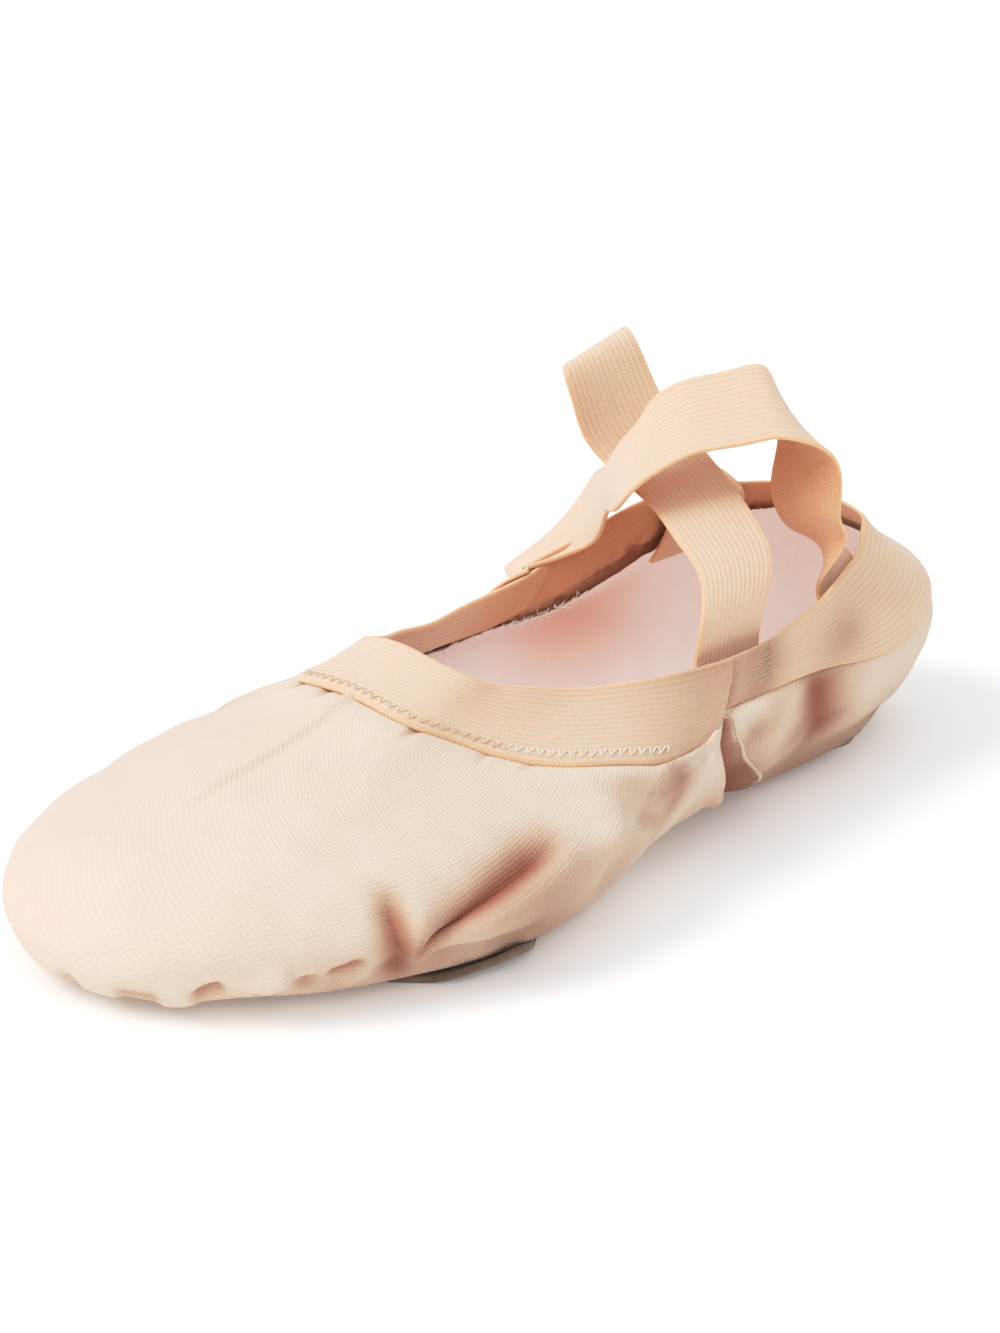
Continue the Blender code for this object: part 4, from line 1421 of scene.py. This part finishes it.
def build_pad(name, node, table, first, last, fore_end, heel_end):
    """Suede patch that follows the canvas underside, its edge turned up where it ends wide."""
    around = np.linspace(first, last, 260)
    reach = reach_to_spine(around)
    inset = smooth_table(table, 1, around)
    share = rounded_share(spine(ring(around)[0]), fore_end, heel_end)
    wobble = 0.35 * np.sin(around * 90) + 0.3 * np.sin(around * 147 + 1)
    inset = np.clip(reach - share * (reach - inset) + wobble, PAD_LEAST, reach)
    upper = np.array([underside(around, inset + (reach - inset) * share)
                      for share in np.linspace(0, 1, 16) ** PAD_CROWD])
    normals = grid_normals(upper)
    top = upper + normals * (GAP * 0.6)
    bottom = upper + normals * (GAP + SUEDE)
    bottom[..., 2] = np.maximum(bottom[..., 2], 0.0)
    cut = (top[0] + bottom[0]) / 2 + unit(top[0] - top[1]) * PAD_ROUND
    loop = np.concatenate([top[::-1], cut[None], bottom])
    uv = np.stack(np.broadcast_arrays(lengths(upper[0]), np.arange(len(loop))[:, None]), -1)
    wear_and_dip_shade = np.full(loop.shape[:2], float(node == "heel_sole"))
    piece = add_mesh(name, loop, suede_nap, uv, {"wear_and_dip_shade": wear_and_dip_shade})
    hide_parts(node)


# ---------------------------------------------------------------- studio
CAMERA_TARGET = np.array([87.69, -33.44, 18.0])   # on the shoe, in its own millimetres
CAMERA_AZIMUTH = 48.38    # degrees from +Y towards +X
CAMERA_HEIGHT = 21.82     # degrees above the floor
CAMERA_ROLL = 3.46
CAMERA_DISTANCE = 910.4
CAMERA_LENS = 116.42
SENSOR = 36.0
CAMERA_NEAR = 0.05        # nothing nearer the camera is seen


def add_camera():
    turned, raised, rolled = np.radians([CAMERA_AZIMUTH, CAMERA_HEIGHT, CAMERA_ROLL])
    back = Vector((math.sin(turned) * math.cos(raised), math.cos(turned) * math.cos(raised),
                   math.sin(raised)))
    right = (-back).cross(Vector((0, 0, 1))).normalized()
    up = right.cross(-back)
    rolled_right = math.cos(rolled) * right + math.sin(rolled) * up
    rolled_up = -math.sin(rolled) * right + math.cos(rolled) * up
    eye = Vector(to_frame(CAMERA_TARGET)) + back * CAMERA_DISTANCE * MM
    data = bpy.data.cameras.new("camera")
    data.sensor_width = SENSOR
    data.lens = CAMERA_LENS
    data.clip_start = CAMERA_NEAR
    camera = bpy.data.objects.new("camera", data)
    axes = Matrix((rolled_right, rolled_up, back)).transposed().to_4x4()
    camera.matrix_world = Matrix.Translation(eye) @ axes
    bpy.context.scene.collection.objects.link(camera)
    bpy.context.scene.camera = camera


def add_sun(name, towards, strength, softness):
    """Soft distant light that shines from the direction `towards`."""
    data = bpy.data.lights.new(name, "SUN")
    data.energy = strength
    data.angle = math.radians(softness)
    lamp = bpy.data.objects.new(name, data)
    lamp.rotation_mode = "QUATERNION"
    lamp.rotation_quaternion = Vector(towards).to_track_quat("Z", "Y")
    bpy.context.scene.collection.objects.link(lamp)


SUNS = (
    # name    towards               strength  softness in degrees
    ("key",   (0.68, -0.30, 0.69),  1.86,     30.0),
    ("front", (0.65, 0.55, 0.85),   0.46,     60.0),
)
SKY_LOW = 0.37            # light from the horizon and from overhead
SKY_HIGH = 1.05
TONE_WHITE = 1.19
FLOOR_GLOW = 0.10         # a lit table, so that the shoe's shadow stays faint
TONE = (
    # light  shown, a soft shoulder like a print's
    (0.00, 0.00), (0.12, 0.105), (0.29, 0.290), (0.50, 0.550), (0.74, 0.745), (1.00, 0.880),
    (1.19, 1.000),
)
FLOOR_SIZE = 12.0
ALL_CHANNELS = 3         # the view's curve that turns all three colours together


def add_studio():
    world = bpy.data.worlds.new("studio")
    n = Nodes(world, "Background")
    split = n.node("ShaderNodeSeparateXYZ", {0: n.node("ShaderNodeTexCoord", output="Generated")},
                   output=2)
    n.set(Color=(1.0, 1.0, 1.0, 1.0),
          Strength=n.node("ShaderNodeMapRange", {"Value": split, "To Min": SKY_LOW,
                                                 "To Max": SKY_HIGH}))
    bpy.context.scene.world = world
    for sun in SUNS:
        add_sun(*sun)
    bpy.ops.mesh.primitive_plane_add(size=FLOOR_SIZE)
    floor = bpy.context.object
    floor.name = "floor"
    n = Nodes(bpy.data.materials.new("floor_white"))
    n.set(Emission_Color=(1.0, 1.0, 1.0, 1.0), Emission_Strength=FLOOR_GLOW,
          Base_Color=(0.96, 0.96, 0.96, 1.0), Roughness=0.9, Specular_IOR_Level=0.1)
    floor.data.materials.append(n.owner)
    view = bpy.context.scene.view_settings
    view.view_transform = "Standard"
    view.look = "None"
    view.use_curve_mapping = True
    tone = view.curve_mapping
    tone.white_level = (TONE_WHITE, TONE_WHITE, TONE_WHITE)
    points = tone.curves[ALL_CHANNELS].points
    for light, shown in TONE[1:-1]:
        points.new(light / TONE_WHITE, shown)
    tone.update()


canvas_skin = build_canvas()
front_band = build_band("collar_front_web", "collar_front_elastic", NEAR_JOINT,
                        FAR_JOINT + 0.014, 620, 0.7, (NEAR_JOINT + 1e-4, FAR_JOINT - 1e-4))
heel_band = build_band("collar_heel_web", "collar_heel_elastic", FAR_JOINT - 2.0 - 0.012,
                       NEAR_JOINT + 0.010, 460, 0.0, (FAR_JOINT - 2.0 + 1e-4, NEAR_JOINT - 1e-4))
build_zigzag("band_zigzag", 0.575, 0.745, BAND_WIDTH / 2 - 3.0, pale_thread)
build_zigzag("band_zigzag_toe", 0.745, 1.35, BAND_WIDTH / 2 - 2.6, peach_thread)
build_joint_stitches()
build_seam(canvas_skin)
inner = build_lining(canvas_skin)
build_frays(inner)
build_insole()
build_pad("forefoot_pad", "forefoot_sole", PAD_EDGE_FORE, 0.42, 1.58, FORE_END, -1e3)
build_pad("heel_pad", "heel_sole", PAD_EDGE_HEEL, -0.42, 0.42, 1e3, HEEL_END)
build_strap("strap_near_web", "strap_near", STRAP_NEAR, NEAR_START, NEAR_FINISH, 1)
build_strap("strap_far_web", "strap_far", STRAP_FAR, None, FAR_FINISH, -1,
            (front_band, heel_band, bpy.data.objects["canvas_upper"]))
add_camera()
add_studio()
